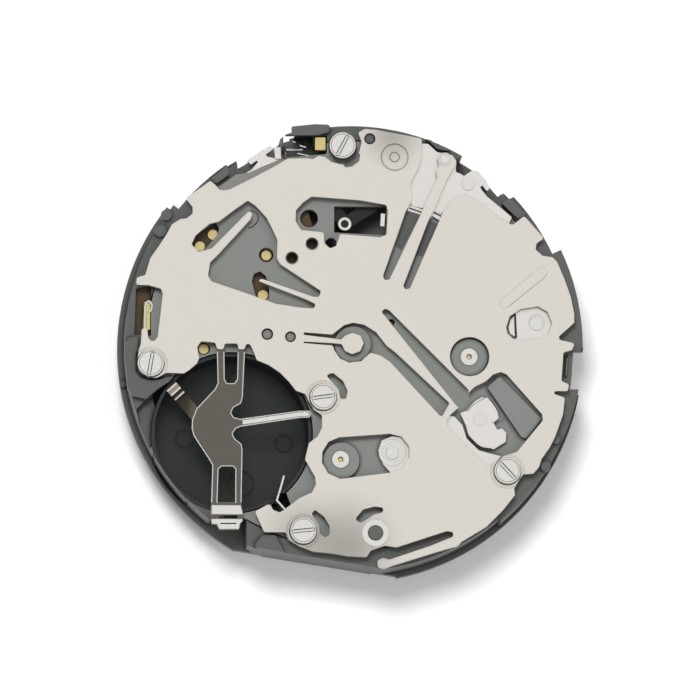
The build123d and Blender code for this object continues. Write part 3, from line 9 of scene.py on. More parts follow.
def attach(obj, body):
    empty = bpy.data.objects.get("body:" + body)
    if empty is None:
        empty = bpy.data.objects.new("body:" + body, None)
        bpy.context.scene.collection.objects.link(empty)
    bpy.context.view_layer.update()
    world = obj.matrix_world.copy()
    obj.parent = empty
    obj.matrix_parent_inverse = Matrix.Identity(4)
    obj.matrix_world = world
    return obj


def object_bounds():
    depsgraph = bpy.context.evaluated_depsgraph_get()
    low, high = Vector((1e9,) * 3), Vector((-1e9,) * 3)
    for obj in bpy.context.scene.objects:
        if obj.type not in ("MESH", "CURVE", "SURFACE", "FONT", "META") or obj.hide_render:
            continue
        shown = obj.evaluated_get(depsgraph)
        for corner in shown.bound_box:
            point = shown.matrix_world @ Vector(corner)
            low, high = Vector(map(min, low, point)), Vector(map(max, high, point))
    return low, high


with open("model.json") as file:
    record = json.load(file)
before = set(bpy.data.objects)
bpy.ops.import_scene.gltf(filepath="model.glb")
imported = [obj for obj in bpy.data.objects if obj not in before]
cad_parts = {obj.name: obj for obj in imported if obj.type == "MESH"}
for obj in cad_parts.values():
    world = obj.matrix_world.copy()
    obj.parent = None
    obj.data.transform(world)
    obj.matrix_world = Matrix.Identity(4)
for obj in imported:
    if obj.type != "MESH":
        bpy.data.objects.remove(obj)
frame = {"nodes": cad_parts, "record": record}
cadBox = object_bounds()
nodes = frame["nodes"]
print("frame loaded,", len(nodes), "nodes")

# Picture and stage

camera = {
    "field": 0.0439,        # width of the picture at the dial seat
    "distance": 0.8,
    "turn": 6.0,            # picture right, degrees from +X
    "azimuth": 255.0,       # where the camera stands
    "elevation": 81.9,
    "offset": (0.00004, 0.00019),
    "sensor": 36,           # millimetres
    "near": 0.01,
    "far": 5,
}
stage = {
    "floorSize": 0.6,
    "floorColour": (1.0, 1.0, 1.0),
    "floorGlow": 0.06,
    "skyDiffuse": 0.45,
    "skyLow": 0.06,
    "skyHigh": 1.04,
    "skyRise": (0.05, 0.75),    # the heights between which the sky brightens
    "keyPlace": (-0.060, 0.089, 0.36),
    "keySize": 0.12,
    "keyPower": 1.0,
    "fillPlace": (0.2, -0.12, 0.3),
    "fillSize": 0.2,
    "fillPower": 0.25,
    "lampUp": (0, 1, 0.01),
}


def unit(degrees):
    return Vector((math.cos(math.radians(degrees)), math.sin(math.radians(degrees)), 0))


def aimed(place, target, upward):
    back = (place - target).normalized()
    up = (upward - upward.dot(back) * back).normalized()
    side = up.cross(back)
    turned = Matrix((side, up, back)).transposed().to_4x4()
    turned.translation = place
    return turned


def makeCamera():
    right, up = unit(camera["turn"]), unit(camera["turn"] + 90)
    target = right * camera["offset"][0] + up * camera["offset"][1]
    lift = math.radians(camera["elevation"])
    back = unit(camera["azimuth"]) * math.cos(lift) + Vector((0, 0, math.sin(lift)))
    data = bpy.data.cameras.new("camera")
    data.sensor_width = camera["sensor"]
    data.lens = camera["sensor"] * camera["distance"] / camera["field"]
    data.clip_start = camera["near"]
    data.clip_end = camera["far"]
    made = bpy.data.objects.new("camera", data)
    bpy.context.scene.collection.objects.link(made)
    made.matrix_world = aimed(target + back * camera["distance"], target, up)
    bpy.context.scene.camera = made


def makeLamp(name, place, size, power):
    data = bpy.data.lights.new(name, "AREA")
    data.shape = "DISK"
    data.size = size
    data.energy = power
    made = bpy.data.objects.new(name, data)
    bpy.context.scene.collection.objects.link(made)
    made.matrix_world = aimed(Vector(place), Vector((0, 0, 0)), Vector(stage["lampUp"]))
    made.visible_glossy = False


def makeWorld():
    world = bpy.data.worlds.new("paleRoom")
    bpy.context.scene.world = world
    world.use_nodes = True
    tree = world.node_tree
    tree.nodes.clear()
    out = tree.nodes.new("ShaderNodeOutputWorld")
    ground = tree.nodes.new("ShaderNodeBackground")
    paths = tree.nodes.new("ShaderNodeLightPath")
    where = tree.nodes.new("ShaderNodeTexCoord")
    split = tree.nodes.new("ShaderNodeSeparateXYZ")
    tree.links.new(where.outputs["Generated"], split.inputs[0])
    rise = tree.nodes.new("ShaderNodeMapRange")
    rise.inputs["From Min"].default_value = stage["skyRise"][0]
    rise.inputs["From Max"].default_value = stage["skyRise"][1]
    rise.inputs["To Min"].default_value = stage["skyLow"]
    rise.inputs["To Max"].default_value = stage["skyHigh"]
    tree.links.new(split.outputs["Z"], rise.inputs["Value"])
    seen = tree.nodes.new("ShaderNodeMath")
    seen.operation = "MAXIMUM"
    tree.links.new(paths.outputs["Is Glossy Ray"], seen.inputs[0])
    tree.links.new(paths.outputs["Is Transmission Ray"], seen.inputs[1])
    shiny = tree.nodes.new("ShaderNodeMix")
    shiny.inputs[2].default_value = stage["skyDiffuse"]
    tree.links.new(seen.outputs[0], shiny.inputs[0])
    tree.links.new(rise.outputs[0], shiny.inputs[3])
    direct = tree.nodes.new("ShaderNodeMix")
    direct.inputs[3].default_value = 1.0
    tree.links.new(paths.outputs["Is Camera Ray"], direct.inputs[0])
    tree.links.new(shiny.outputs[0], direct.inputs[2])
    tree.links.new(direct.outputs[0], ground.inputs["Strength"])
    tree.links.new(ground.outputs[0], out.inputs[0])


def makeFloor(level):
    mesh = bmesh.new()
    bmesh.ops.create_grid(mesh, x_segments=1, y_segments=1, size=stage["floorSize"])
    bmesh.ops.translate(mesh, vec=(0, 0, level), verts=mesh.verts)
    data = bpy.data.meshes.new("floor")
    mesh.to_mesh(data)
    mesh.free()
    floor = bpy.data.objects.new("floor", data)
    bpy.context.scene.collection.objects.link(floor)
    paper = bpy.data.materials.new("paperFloor")
    paper.use_nodes = True
    tree = paper.node_tree
    tree.nodes.clear()
    out = tree.nodes.new("ShaderNodeOutputMaterial")
    matt = tree.nodes.new("ShaderNodeBsdfDiffuse")
    matt.inputs["Color"].default_value = (*stage["floorColour"], 1)
    glow = tree.nodes.new("ShaderNodeEmission")
    paths = tree.nodes.new("ShaderNodeLightPath")
    seen = tree.nodes.new("ShaderNodeMath")
    seen.operation = "MULTIPLY"
    seen.inputs[1].default_value = stage["floorGlow"]
    tree.links.new(paths.outputs["Is Camera Ray"], seen.inputs[0])
    tree.links.new(seen.outputs[0], glow.inputs["Strength"])
    both = tree.nodes.new("ShaderNodeAddShader")
    tree.links.new(matt.outputs[0], both.inputs[0])
    tree.links.new(glow.outputs[0], both.inputs[1])
    tree.links.new(both.outputs[0], out.inputs[0])
    data.materials.append(paper)


makeCamera()
makeWorld()
makeLamp("keyLamp", stage["keyPlace"], stage["keySize"], stage["keyPower"])
makeLamp("fillLamp", stage["fillPlace"], stage["fillSize"], stage["fillPower"])
makeFloor(cadBox[0].z)
print("stage ready")

# Finishes

surface = {
    "broadDetail": 3,
    "fineDetail": 2,
    "fineTimes": 9.0,       # how many times finer than the broad grain
    "fineShare": 0.5,
    "roughSwing": 0.12,
    "bumpDepth": 0.00002,
    "edgeSamples": 4,
    "edgeGain": 3.0,
    "edgeCap": (0.95, 0.95, 0.95),
    "shadeSamples": 6,
}
finishes = {
    # edge is how much painted highlight brightens a rounded edge, and width how wide it is in
    # metres
    "coverSteel": dict(colour=(0.805, 0.765, 0.70), metallic=0.85, rough=0.30, mottle=0.008,
                       scale=900, bump=0.006, edge=0.8, width=0.00005),
    "strapSteel": dict(colour=(0.150, 0.135, 0.118), metallic=0.9, rough=0.26, mottle=0.02,
                       scale=500, bump=0.01, edge=3.4, width=0.00011),
    "shadedSteel": dict(colour=(0.30, 0.30, 0.285), metallic=0.9, rough=0.28, mottle=0.05,
                        scale=900, bump=0.02, edge=0.6, width=0.00004),
    "darkSteel": dict(colour=(0.035, 0.033, 0.030), metallic=0.8, rough=0.3, mottle=0.10,
                      scale=2000, bump=0.04, edge=2.0, width=0.00003),
    "screwSteel": dict(colour=(0.84, 0.83, 0.79), metallic=0.95, rough=0.22, mottle=0.03,
                       scale=2600, bump=0.03, edge=0.8, width=0.00006),
    "leverSteel": dict(colour=(0.86, 0.83, 0.80), metallic=0.9, rough=0.25, mottle=0.02,
                       scale=1200, bump=0.02, edge=0.8, width=0.00005),
    "contactSteel": dict(colour=(0.36, 0.31, 0.24), metallic=0.9, rough=0.24, mottle=0.05,
                         scale=1500, bump=0.04, edge=0.9, width=0.00005),
    "wheelBrass": dict(colour=(0.78, 0.60, 0.27), metallic=0.95, rough=0.25, mottle=0.05,
                       scale=2200, bump=0.04, edge=0.5, width=0.00004),
    "goldPlate": dict(colour=(0.80, 0.66, 0.30), metallic=0.95, rough=0.28, mottle=0.10,
                      scale=3000, bump=0.08, edge=0.4, width=0.00004),
    "greyPlastic": dict(colour=(0.095, 0.099, 0.094), metallic=0.0, rough=0.5, mottle=0.06,
                        scale=2400, bump=0.10, edge=0.9, width=0.00006),
    "bridgePlastic": dict(colour=(0.205, 0.212, 0.200), metallic=0.0, rough=0.48, mottle=0.05,
                          scale=2400, bump=0.08, edge=0.8, width=0.00006),
    "cupPlastic": dict(colour=(0.016, 0.019, 0.018), metallic=0.0, rough=0.42, mottle=0.10,
                       scale=1800, bump=0.08, edge=2.0, width=0.00007),
    "rotorMetal": dict(colour=(0.16, 0.16, 0.165), metallic=0.8, rough=0.35, mottle=0.08,
                       scale=2000, bump=0.05, edge=0.4, width=0.00004),
    "softIron": dict(colour=(0.42, 0.41, 0.39), metallic=0.9, rough=0.34, mottle=0.08,
                     scale=2000, bump=0.05, edge=0.4, width=0.00004),
    "copperWire": dict(colour=(0.62, 0.26, 0.12), metallic=0.8, rough=0.32, mottle=0.12,
                       scale=5000, bump=0.2, edge=0.2, width=0.00004),
    "boardResin": dict(colour=(0.075, 0.042, 0.014), metallic=0.0, rough=0.4, mottle=0.2,
                       scale=2600, bump=0.08, edge=0.3, width=0.00004),
    "chipResin": dict(colour=(0.012, 0.012, 0.013), metallic=0.0, rough=0.45, mottle=0.15,
                      scale=3000, bump=0.1, edge=0.3, width=0.00004),
    "canMetal": dict(colour=(0.62, 0.62, 0.62), metallic=0.9, rough=0.25, mottle=0.05,
                     scale=1800, bump=0.04, edge=0.4, width=0.00004),
    "ringEnamel": dict(colour=(0.72, 0.72, 0.70), metallic=0.0, rough=0.4, mottle=0.04,
                       scale=1600, bump=0.04, edge=0.2, width=0.00004),
}


def makeGrainGroup():
    group = bpy.data.node_groups.new("surfaceGrain", "ShaderNodeTree")
    for name, kind, value in (("Vector", "NodeSocketVector", None),
                              ("Colour", "NodeSocketColor", None),
                              ("Mottle", "NodeSocketFloat", 0.05),
                              ("Roughness", "NodeSocketFloat", 0.4),
                              ("Scale", "NodeSocketFloat", 1500.0)):
        socket = group.interface.new_socket(name=name, in_out="INPUT", socket_type=kind)
        if value is not None:
            socket.default_value = value
    for name, kind in (("Colour", "NodeSocketColor"), ("Roughness", "NodeSocketFloat"),
                       ("Height", "NodeSocketFloat")):
        group.interface.new_socket(name=name, in_out="OUTPUT", socket_type=kind)
    inside = group.nodes.new("NodeGroupInput")
    out = group.nodes.new("NodeGroupOutput")
    broad = group.nodes.new("ShaderNodeTexNoise")
    broad.inputs["Detail"].default_value = surface["broadDetail"]
    fine = group.nodes.new("ShaderNodeTexNoise")
    fine.inputs["Detail"].default_value = surface["fineDetail"]
    finer = group.nodes.new("ShaderNodeMath")
    finer.operation = "MULTIPLY"
    finer.inputs[1].default_value = surface["fineTimes"]
    group.links.new(inside.outputs["Vector"], broad.inputs["Vector"])
    group.links.new(inside.outputs["Vector"], fine.inputs["Vector"])
    group.links.new(inside.outputs["Scale"], broad.inputs["Scale"])
    group.links.new(inside.outputs["Scale"], finer.inputs[0])
    group.links.new(finer.outputs[0], fine.inputs["Scale"])
    centred = group.nodes.new("ShaderNodeMath")
    centred.operation = "SUBTRACT"
    centred.inputs[1].default_value = 0.5
    group.links.new(broad.outputs[0], centred.inputs[0])
    swing = group.nodes.new("ShaderNodeMath")
    swing.operation = "MULTIPLY"
    group.links.new(centred.outputs[0], swing.inputs[0])
    group.links.new(inside.outputs["Mottle"], swing.inputs[1])
    level = group.nodes.new("ShaderNodeMath")
    level.operation = "MULTIPLY_ADD"
    level.inputs[1].default_value = 2.0
    level.inputs[2].default_value = 1.0
    group.links.new(swing.outputs[0], level.inputs[0])
    tinted = group.nodes.new("ShaderNodeVectorMath")
    tinted.operation = "SCALE"
    group.links.new(inside.outputs["Colour"], tinted.inputs[0])
    group.links.new(level.outputs[0], tinted.inputs["Scale"])
    rough = group.nodes.new("ShaderNodeMath")
    rough.operation = "MULTIPLY_ADD"
    rough.inputs[1].default_value = surface["roughSwing"]
    group.links.new(centred.outputs[0], rough.inputs[0])
    group.links.new(inside.outputs["Roughness"], rough.inputs[2])
    height = group.nodes.new("ShaderNodeMath")
    height.operation = "MULTIPLY_ADD"
    height.inputs[1].default_value = surface["fineShare"]
    group.links.new(fine.outputs[0], height.inputs[0])
    group.links.new(broad.outputs[0], height.inputs[2])
    group.links.new(tinted.outputs[0], out.inputs["Colour"])
    group.links.new(rough.outputs[0], out.inputs["Roughness"])
    group.links.new(height.outputs[0], out.inputs["Height"])
    return group


# The rounded normal along each edge, and a painted highlight that lightens the colour there
def makeEdgeGroup():
    group = bpy.data.node_groups.new("edgeGlint", "ShaderNodeTree")
    group.interface.new_socket(name="Colour", in_out="INPUT", socket_type="NodeSocketColor")
    amount = group.interface.new_socket(name="Amount", in_out="INPUT",
                                        socket_type="NodeSocketFloat")
    amount.default_value = 0.5
    width = group.interface.new_socket(name="Width", in_out="INPUT",
                                       socket_type="NodeSocketFloat")
    width.default_value = 0.00004
    group.interface.new_socket(name="Colour", in_out="OUTPUT", socket_type="NodeSocketColor")
    group.interface.new_socket(name="Normal", in_out="OUTPUT", socket_type="NodeSocketVector")
    inside = group.nodes.new("NodeGroupInput")
    out = group.nodes.new("NodeGroupOutput")
    rounded = group.nodes.new("ShaderNodeBevel")
    rounded.samples = surface["edgeSamples"]
    group.links.new(inside.outputs["Width"], rounded.inputs["Radius"])
    flat = group.nodes.new("ShaderNodeNewGeometry")
    dot = group.nodes.new("ShaderNodeVectorMath")
    dot.operation = "DOT_PRODUCT"
    group.links.new(rounded.outputs[0], dot.inputs[0])
    group.links.new(flat.outputs["Normal"], dot.inputs[1])
    turned = group.nodes.new("ShaderNodeMath")
    turned.operation = "SUBTRACT"
    turned.use_clamp = True
    turned.inputs[0].default_value = 1.0
    group.links.new(dot.outputs["Value"], turned.inputs[1])
    strength = group.nodes.new("ShaderNodeMath")
    strength.operation = "MULTIPLY"
    group.links.new(turned.outputs[0], strength.inputs[0])
    group.links.new(inside.outputs["Amount"], strength.inputs[1])
    lift = group.nodes.new("ShaderNodeMath")
    lift.operation = "MULTIPLY_ADD"
    lift.inputs[1].default_value = surface["edgeGain"]
    lift.inputs[2].default_value = 1.0
    group.links.new(strength.outputs[0], lift.inputs[0])
    lighter = group.nodes.new("ShaderNodeVectorMath")
    lighter.operation = "SCALE"
    group.links.new(inside.outputs["Colour"], lighter.inputs[0])
    group.links.new(lift.outputs[0], lighter.inputs["Scale"])
    capped = group.nodes.new("ShaderNodeVectorMath")
    capped.operation = "MINIMUM"
    capped.inputs[1].default_value = surface["edgeCap"]
    group.links.new(lighter.outputs[0], capped.inputs[0])
    group.links.new(capped.outputs[0], out.inputs["Colour"])
    group.links.new(rounded.outputs[0], out.inputs["Normal"])
    return group


# Painted shade: darkens the colour near walls and in corners, found by ambient occlusion
def makeShadeGroup():
    group = bpy.data.node_groups.new("cornerShade", "ShaderNodeTree")
    group.interface.new_socket(name="Colour", in_out="INPUT", socket_type="NodeSocketColor")
    for name, value in (("Reach", 0.0003), ("Amount", 0.5)):
        socket = group.interface.new_socket(name=name, in_out="INPUT",
                                            socket_type="NodeSocketFloat")
        socket.default_value = value
    group.interface.new_socket(name="Colour", in_out="OUTPUT", socket_type="NodeSocketColor")
    inside = group.nodes.new("NodeGroupInput")
    out = group.nodes.new("NodeGroupOutput")
    hidden = group.nodes.new("ShaderNodeAmbientOcclusion")
    hidden.samples = surface["shadeSamples"]
    group.links.new(inside.outputs["Reach"], hidden.inputs["Distance"])
    less = group.nodes.new("ShaderNodeMath")
    less.operation = "SUBTRACT"
    less.inputs[0].default_value = 1.0
    group.links.new(hidden.outputs["AO"], less.inputs[1])
    share = group.nodes.new("ShaderNodeMath")
    share.operation = "MULTIPLY"
    group.links.new(less.outputs[0], share.inputs[0])
    group.links.new(inside.outputs["Amount"], share.inputs[1])
    left = group.nodes.new("ShaderNodeMath")
    left.operation = "SUBTRACT"
    left.use_clamp = True
    left.inputs[0].default_value = 1.0
    group.links.new(share.outputs[0], left.inputs[1])
    darker = group.nodes.new("ShaderNodeVectorMath")
    darker.operation = "SCALE"
    group.links.new(inside.outputs["Colour"], darker.inputs[0])
    group.links.new(left.outputs[0], darker.inputs["Scale"])
    group.links.new(darker.outputs[0], out.inputs["Colour"])
    return group


cornerShade = {
    "reach": 0.00032,       # how far from a wall the painted shade of a corner goes
    "amount": 1.5,
    "finishes": ("greyPlastic", "bridgePlastic", "cupPlastic", "boardResin"),
}
coverPaintedShade = {
    "finish": "coverSteel",
    # the middle of each place of painted shade, how far it reaches and how much brightness it
    # loses
    "places": (((0.00084, -0.01283, 0.0047), 0.0042, 0.44),
               ((-0.00219, -0.01215, 0.0047), 0.0032, 0.26),
               ((0.00106, 0.01328, 0.0047), 0.0026, 0.36)),
}
grainGroup = makeGrainGroup()
edgeGroup = makeEdgeGroup()
shadeGroup = makeShadeGroup()


# Painted shade: darkens the cover's colour softly round each place
def paintShadePlaces(tree, where, colour):
    for place, reach, amount in coverPaintedShade["places"]:
        away = tree.nodes.new("ShaderNodeVectorMath")
        away.operation = "DISTANCE"
        away.inputs[1].default_value = place
        tree.links.new(where, away.inputs[0])
        left = tree.nodes.new("ShaderNodeMapRange")
        left.interpolation_type = "SMOOTHSTEP"
        left.inputs["From Max"].default_value = reach
        left.inputs["To Min"].default_value = 1 - amount
        tree.links.new(away.outputs["Value"], left.inputs["Value"])
        darker = tree.nodes.new("ShaderNodeVectorMath")
        darker.operation = "SCALE"
        tree.links.new(colour, darker.inputs[0])
        tree.links.new(left.outputs["Result"], darker.inputs["Scale"])
        colour = darker.outputs[0]
    return colour


def makeFinish(name):
    values = finishes[name]
    made = bpy.data.materials.new(name)
    made.use_nodes = True
    tree = made.node_tree
    shader = tree.nodes["Principled BSDF"]
    where = tree.nodes.new("ShaderNodeTexCoord")
    grain = tree.nodes.new("ShaderNodeGroup")
    grain.node_tree = grainGroup
    grain.inputs["Colour"].default_value = (*values["colour"], 1)
    grain.inputs["Mottle"].default_value = values["mottle"]
    grain.inputs["Roughness"].default_value = values["rough"]
    grain.inputs["Scale"].default_value = values["scale"]
    tree.links.new(where.outputs["Object"], grain.inputs["Vector"])
    edge = tree.nodes.new("ShaderNodeGroup")
    edge.node_tree = edgeGroup
    edge.inputs["Amount"].default_value = values["edge"]
    edge.inputs["Width"].default_value = values["width"]
    tree.links.new(grain.outputs["Colour"], edge.inputs["Colour"])
    bump = tree.nodes.new("ShaderNodeBump")
    bump.inputs["Strength"].default_value = values["bump"]
    bump.inputs["Distance"].default_value = surface["bumpDepth"]
    tree.links.new(grain.outputs["Height"], bump.inputs["Height"])
    tree.links.new(edge.outputs["Normal"], bump.inputs["Normal"])
    colour = edge.outputs["Colour"]
    if name in cornerShade["finishes"]:
        shade = tree.nodes.new("ShaderNodeGroup")
        shade.node_tree = shadeGroup
        shade.inputs["Reach"].default_value = cornerShade["reach"]
        shade.inputs["Amount"].default_value = cornerShade["amount"]
        tree.links.new(colour, shade.inputs["Colour"])
        colour = shade.outputs["Colour"]
    if name == coverPaintedShade["finish"]:
        colour = paintShadePlaces(tree, where.outputs["Object"], colour)
    tree.links.new(colour, shader.inputs["Base Color"])
    tree.links.new(grain.outputs["Roughness"], shader.inputs["Roughness"])
    tree.links.new(bump.outputs[0], shader.inputs["Normal"])
    shader.inputs["Metallic"].default_value = values["metallic"]
    return made


materials = {name: makeFinish(name) for name in finishes}
slotFinish = {
    "grey_plastic": "greyPlastic", "bridge_plastic": "bridgePlastic",
    "dark_plastic": "cupPlastic", "cover_steel": "coverSteel", "strap_steel": "strapSteel",
    "screw_steel": "screwSteel", "lever_steel": "leverSteel", "contact_steel": "contactSteel",
    "dark_steel": "darkSteel", "wheel_brass": "wheelBrass", "gold": "goldPlate",
    "rotor_metal": "rotorMetal", "soft_iron": "softIron", "copper": "copperWire",
    "board": "boardResin", "chip": "chipResin", "can_metal": "canMetal",
    "ring_white": "ringEnamel",
}
for row in frame["record"]["subparts"]:
    node = nodes[row["node"]]
    finish = materials[slotFinish[row["material_slot"]]]
    if not node.data.materials:
        node.data.materials.append(finish)
    for slot in node.material_slots:
        slot.material = finish

# Small pieces on the frame, placed by where they are seen in the picture

plan = {
    "perPixel": 0.0000627,    # metres for each picture pixel
    "turn": 6.0,
    "low": (349.3, 353.0),    # the hand axis in the picture at the dial seat
    "high": (353.0, 343.0),   # and at the top of the cover
}
levels = {
    "coverTop": 0.0047,
    "hammerTop": 0.00436,
    "leverTop": 0.00414,
    "studTop": 0.0042,
    "bridgeTop": 0.00395,
    "wallTop": 0.0039,
}
making = {
    "sharpAngle": 35,
    "sameHeight": 1e-8,
    "upright": 0.5,         # a face whose normal rises less than this is a side
    "bevelSteps": 2,
    "bevelProfile": 0.5,
    "wireSteps": 2,
    "sides": 48,
    "line": 0.000004,       # how high a drawn line stands over its face
    "skin": 0.00001,        # how high a shaded patch stands over its face
}


def spot(pixel, height):
    share = height / levels["coverTop"]
    across = (pixel[0] - plan["low"][0] - (plan["high"][0] - plan["low"][0]) * share)
    up = (plan["low"][1] + (plan["high"][1] - plan["low"][1]) * share - pixel[1])
    place = unit(plan["turn"]) * across + unit(plan["turn"] + 90) * up
    return place * plan["perPixel"] + Vector((0, 0, height))


finishSlot = {finish: slotName for slotName, finish in slotFinish.items()}
finishSlot["shadedSteel"] = "lever_steel"


def lifted(pixel, low, high):
    share = (high - low) / levels["coverTop"]
    return (pixel[0] + (plan["high"][0] - plan["low"][0]) * share,
            pixel[1] + (plan["high"][1] - plan["low"][1]) * share)


def addPiece(name, mesh, finish, body):
    bmesh.ops.recalc_face_normals(mesh, faces=mesh.faces)
    data = bpy.data.meshes.new(name)
    mesh.to_mesh(data)
    mesh.free()
    data.materials.append(materials[finish])
    data.shade_smooth()
    data.set_sharp_from_angle(angle=math.radians(making["sharpAngle"]))
    made = bpy.data.objects.new(name, data)
    bpy.context.scene.collection.objects.link(made)
    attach(made, body)


def softenTop(mesh, height, width):
    if width:
        rim = [edge for edge in mesh.edges
               if all(abs(corner.co.z - height) < making["sameHeight"] for corner in edge.verts)
               and any(abs(face.normal.z) < making["upright"] for face in edge.link_faces)]
        bmesh.ops.bevel(mesh, geom=rim, offset=width, offset_type="OFFSET",
                        segments=making["bevelSteps"], profile=making["bevelProfile"],
                        affect="EDGES", material=-1)


def makePlate(name, outline, bottom, top, finish, body="movement", soft=0.0):
    mesh = bmesh.new()
    corners = [mesh.verts.new(spot(pixel, top).xy.to_3d()) for pixel in outline]
    bmesh.ops.translate(mesh, vec=(0, 0, bottom), verts=corners)
    face = mesh.faces.new(corners)
    raised = bmesh.ops.extrude_face_region(mesh, geom=[face])["geom"]
    bmesh.ops.translate(mesh, vec=(0, 0, top - bottom),
                        verts=[item for item in raised if isinstance(item, bmesh.types.BMVert)])
    mesh.normal_update()
    softenTop(mesh, top, soft)
    addPiece(name, mesh, finish, body)


def makeBar(name, ends, width, bottom, top, finish, body="movement"):
    first, last = (Vector(end) for end in ends)
    run = (last - first).normalized() * (width / plan["perPixel"] / 2)
    side = Vector((-run.y, run.x))
    outline = [first + side, first - side, last - side, last + side]
    makePlate(name, outline, bottom, top, finish, body)


def makeDisc(name, pixel, radius, bottom, top, finish, body="movement", soft=0.0,
             sides=making["sides"]):
    mesh = bmesh.new()
    place = spot(pixel, top)
    lift = Matrix.Translation((place.x, place.y, (bottom + top) / 2))
    bmesh.ops.create_cone(mesh, cap_ends=True, segments=sides, radius1=radius,
                          radius2=radius, depth=top - bottom, matrix=lift)
    mesh.normal_update()
    softenTop(mesh, top, soft)
    addPiece(name, mesh, finish, body)


def makeRing(name, pixel, outer, inner, bottom, top, finish, body="movement", soft=0.0):
    mesh = bmesh.new()
    place = spot(pixel, top)
    lift = Matrix.Translation((place.x, place.y, bottom))
    for radius in (outer, inner):
        bmesh.ops.create_circle(mesh, segments=making["sides"], radius=radius, matrix=lift)
    bmesh.ops.bridge_loops(mesh, edges=mesh.edges[:])
    raised = bmesh.ops.extrude_face_region(mesh, geom=mesh.faces[:])["geom"]
    bmesh.ops.translate(mesh, vec=(0, 0, top - bottom),
                        verts=[item for item in raised if isinstance(item, bmesh.types.BMVert)])
    mesh.normal_update()
    softenTop(mesh, top, soft)
    addPiece(name, mesh, finish, body)


def makeWire(name, points, radius, finish, body="movement"):
    curve = bpy.data.curves.new(name + "Path", "CURVE")
    curve.dimensions = "3D"
    curve.bevel_depth = radius
    curve.bevel_resolution = making["wireSteps"]
    curve.use_fill_caps = True
    spline = curve.splines.new("POLY")
    spline.points.add(len(points) - 1)
    for point, (across, down, height) in zip(spline.points, points):
        point.co = (*spot((across, down), height), 1)
    path = bpy.data.objects.new(name + "Path", curve)
    mesh = bmesh.new()
    mesh.from_mesh(path.to_mesh())
    path.to_mesh_clear()
    bpy.data.objects.remove(path)
    bpy.data.curves.remove(curve)
    addPiece(name, mesh, finish, body)


# The rivet on the sprung finger and the one on the start lever

fingerRivet = {
    "pixel": (444.3, 157.6),
    "radius": 0.00030,
    "collar": 0.00043,
    "collarGap": 0.00004,
    "collarShare": 0.5,
    "height": 0.00007,
    "soft": 0.00003,
    "collarSoft": 0.00002,
}
top = levels["coverTop"]
makeDisc("fingerRivet", fingerRivet["pixel"], fingerRivet["radius"], top,
         top + fingerRivet["height"], "screwSteel", soft=fingerRivet["soft"])
makeRing("fingerRivetCollar", fingerRivet["pixel"], fingerRivet["collar"],
         fingerRivet["radius"] + fingerRivet["collarGap"], top,
         top + fingerRivet["height"] * fingerRivet["collarShare"], "screwSteel",
         soft=fingerRivet["collarSoft"])

startRivet = {
    "pixel": (467.8, 182.0),
    "radius": 0.00042,
    "height": 0.00008,
    "soft": 0.00004,
}
top = levels["leverTop"]
makeDisc("startRivet", startRivet["pixel"], startRivet["radius"], top,
         top + startRivet["height"], "screwSteel", "start_stop_lever",
         soft=startRivet["soft"])
print("rivets made")

# The thin sheet under the start lever, and dark lines of painted shadow where it folds

startSheet = {
    "outline": ((409.0, 199.0), (444.0, 209.0), (441.0, 219.5), (407.0, 209.4)),
    "bottom": 0.003955,
    "top": 0.003975,
    "lines": (((410.6, 203.4), (425.0, 208.0)), ((409.0, 206.8), (423.8, 212.0)),
              ((433.4, 211.0), (442.4, 215.6)), ((431.2, 215.0), (439.8, 220.4))),
    "lineWidth": 0.00009,
}
makePlate("startSheet", startSheet["outline"], startSheet["bottom"], startSheet["top"],
          "leverSteel")
# Dark lines over the folds: painted shadow
for index, ends in enumerate(startSheet["lines"]):
    makeBar(f"startSheetFoldShadow{index + 1}", ends, startSheet["lineWidth"], startSheet["top"],
            startSheet["top"] + making["line"], "chipResin")

# The folded tab on the reset lever and the springs seen in the stem bay

foldedTab = {
    "outline": ((273.6, 146.8), (280.8, 146.2), (281.6, 158.6), (275.0, 158.2)),
    "bottom": 0.00408,
    "top": 0.0044,
    "soft": 0.00004,
}
makePlate("foldedTab", foldedTab["outline"], foldedTab["bottom"], foldedTab["top"],
          "leverSteel", "reset_lever", soft=foldedTab["soft"])

stemSprings = {
    "runs": (((286.0, 149.2, 0.0036), (302.5, 148.8, 0.0036)),
             ((297.0, 152.6, 0.0037), (309.5, 155.2, 0.0037)),
             ((299.5, 144.4, 0.0036), (306.0, 146.2, 0.0036)),
             ((292.6, 140.6, 0.0036), (295.4, 141.2, 0.0036))),
    "radius": 0.00007,
}
for index, points in enumerate(stemSprings["runs"]):
    makeWire(f"stemSpring{index + 1}", points, stemSprings["radius"], "screwSteel")

sideSpring = {
    "points": ((145.4, 333.0, 0.00392), (145.8, 318.0, 0.00392), (145.6, 309.0, 0.00392),
               (146.6, 304.4, 0.00392), (149.0, 302.2, 0.00392), (151.6, 303.4, 0.00392),
               (152.8, 306.8, 0.00392), (152.2, 310.8, 0.00392), (150.2, 313.4, 0.00392)),
    "radius": 0.00009,
    "floor": ((138.0, 293.0), (150.8, 290.6), (150.8, 336.0), (136.6, 336.0)),
    "floorLevel": 0.00331,
}
makePlate("sideWindowFloor", sideSpring["floor"], sideSpring["floorLevel"] - making["skin"],
          sideSpring["floorLevel"], "boardResin")
makeWire("sideSpring", sideSpring["points"], sideSpring["radius"], "screwSteel")
print("springs made")

# The setting window: a ring on the button and a bright stop

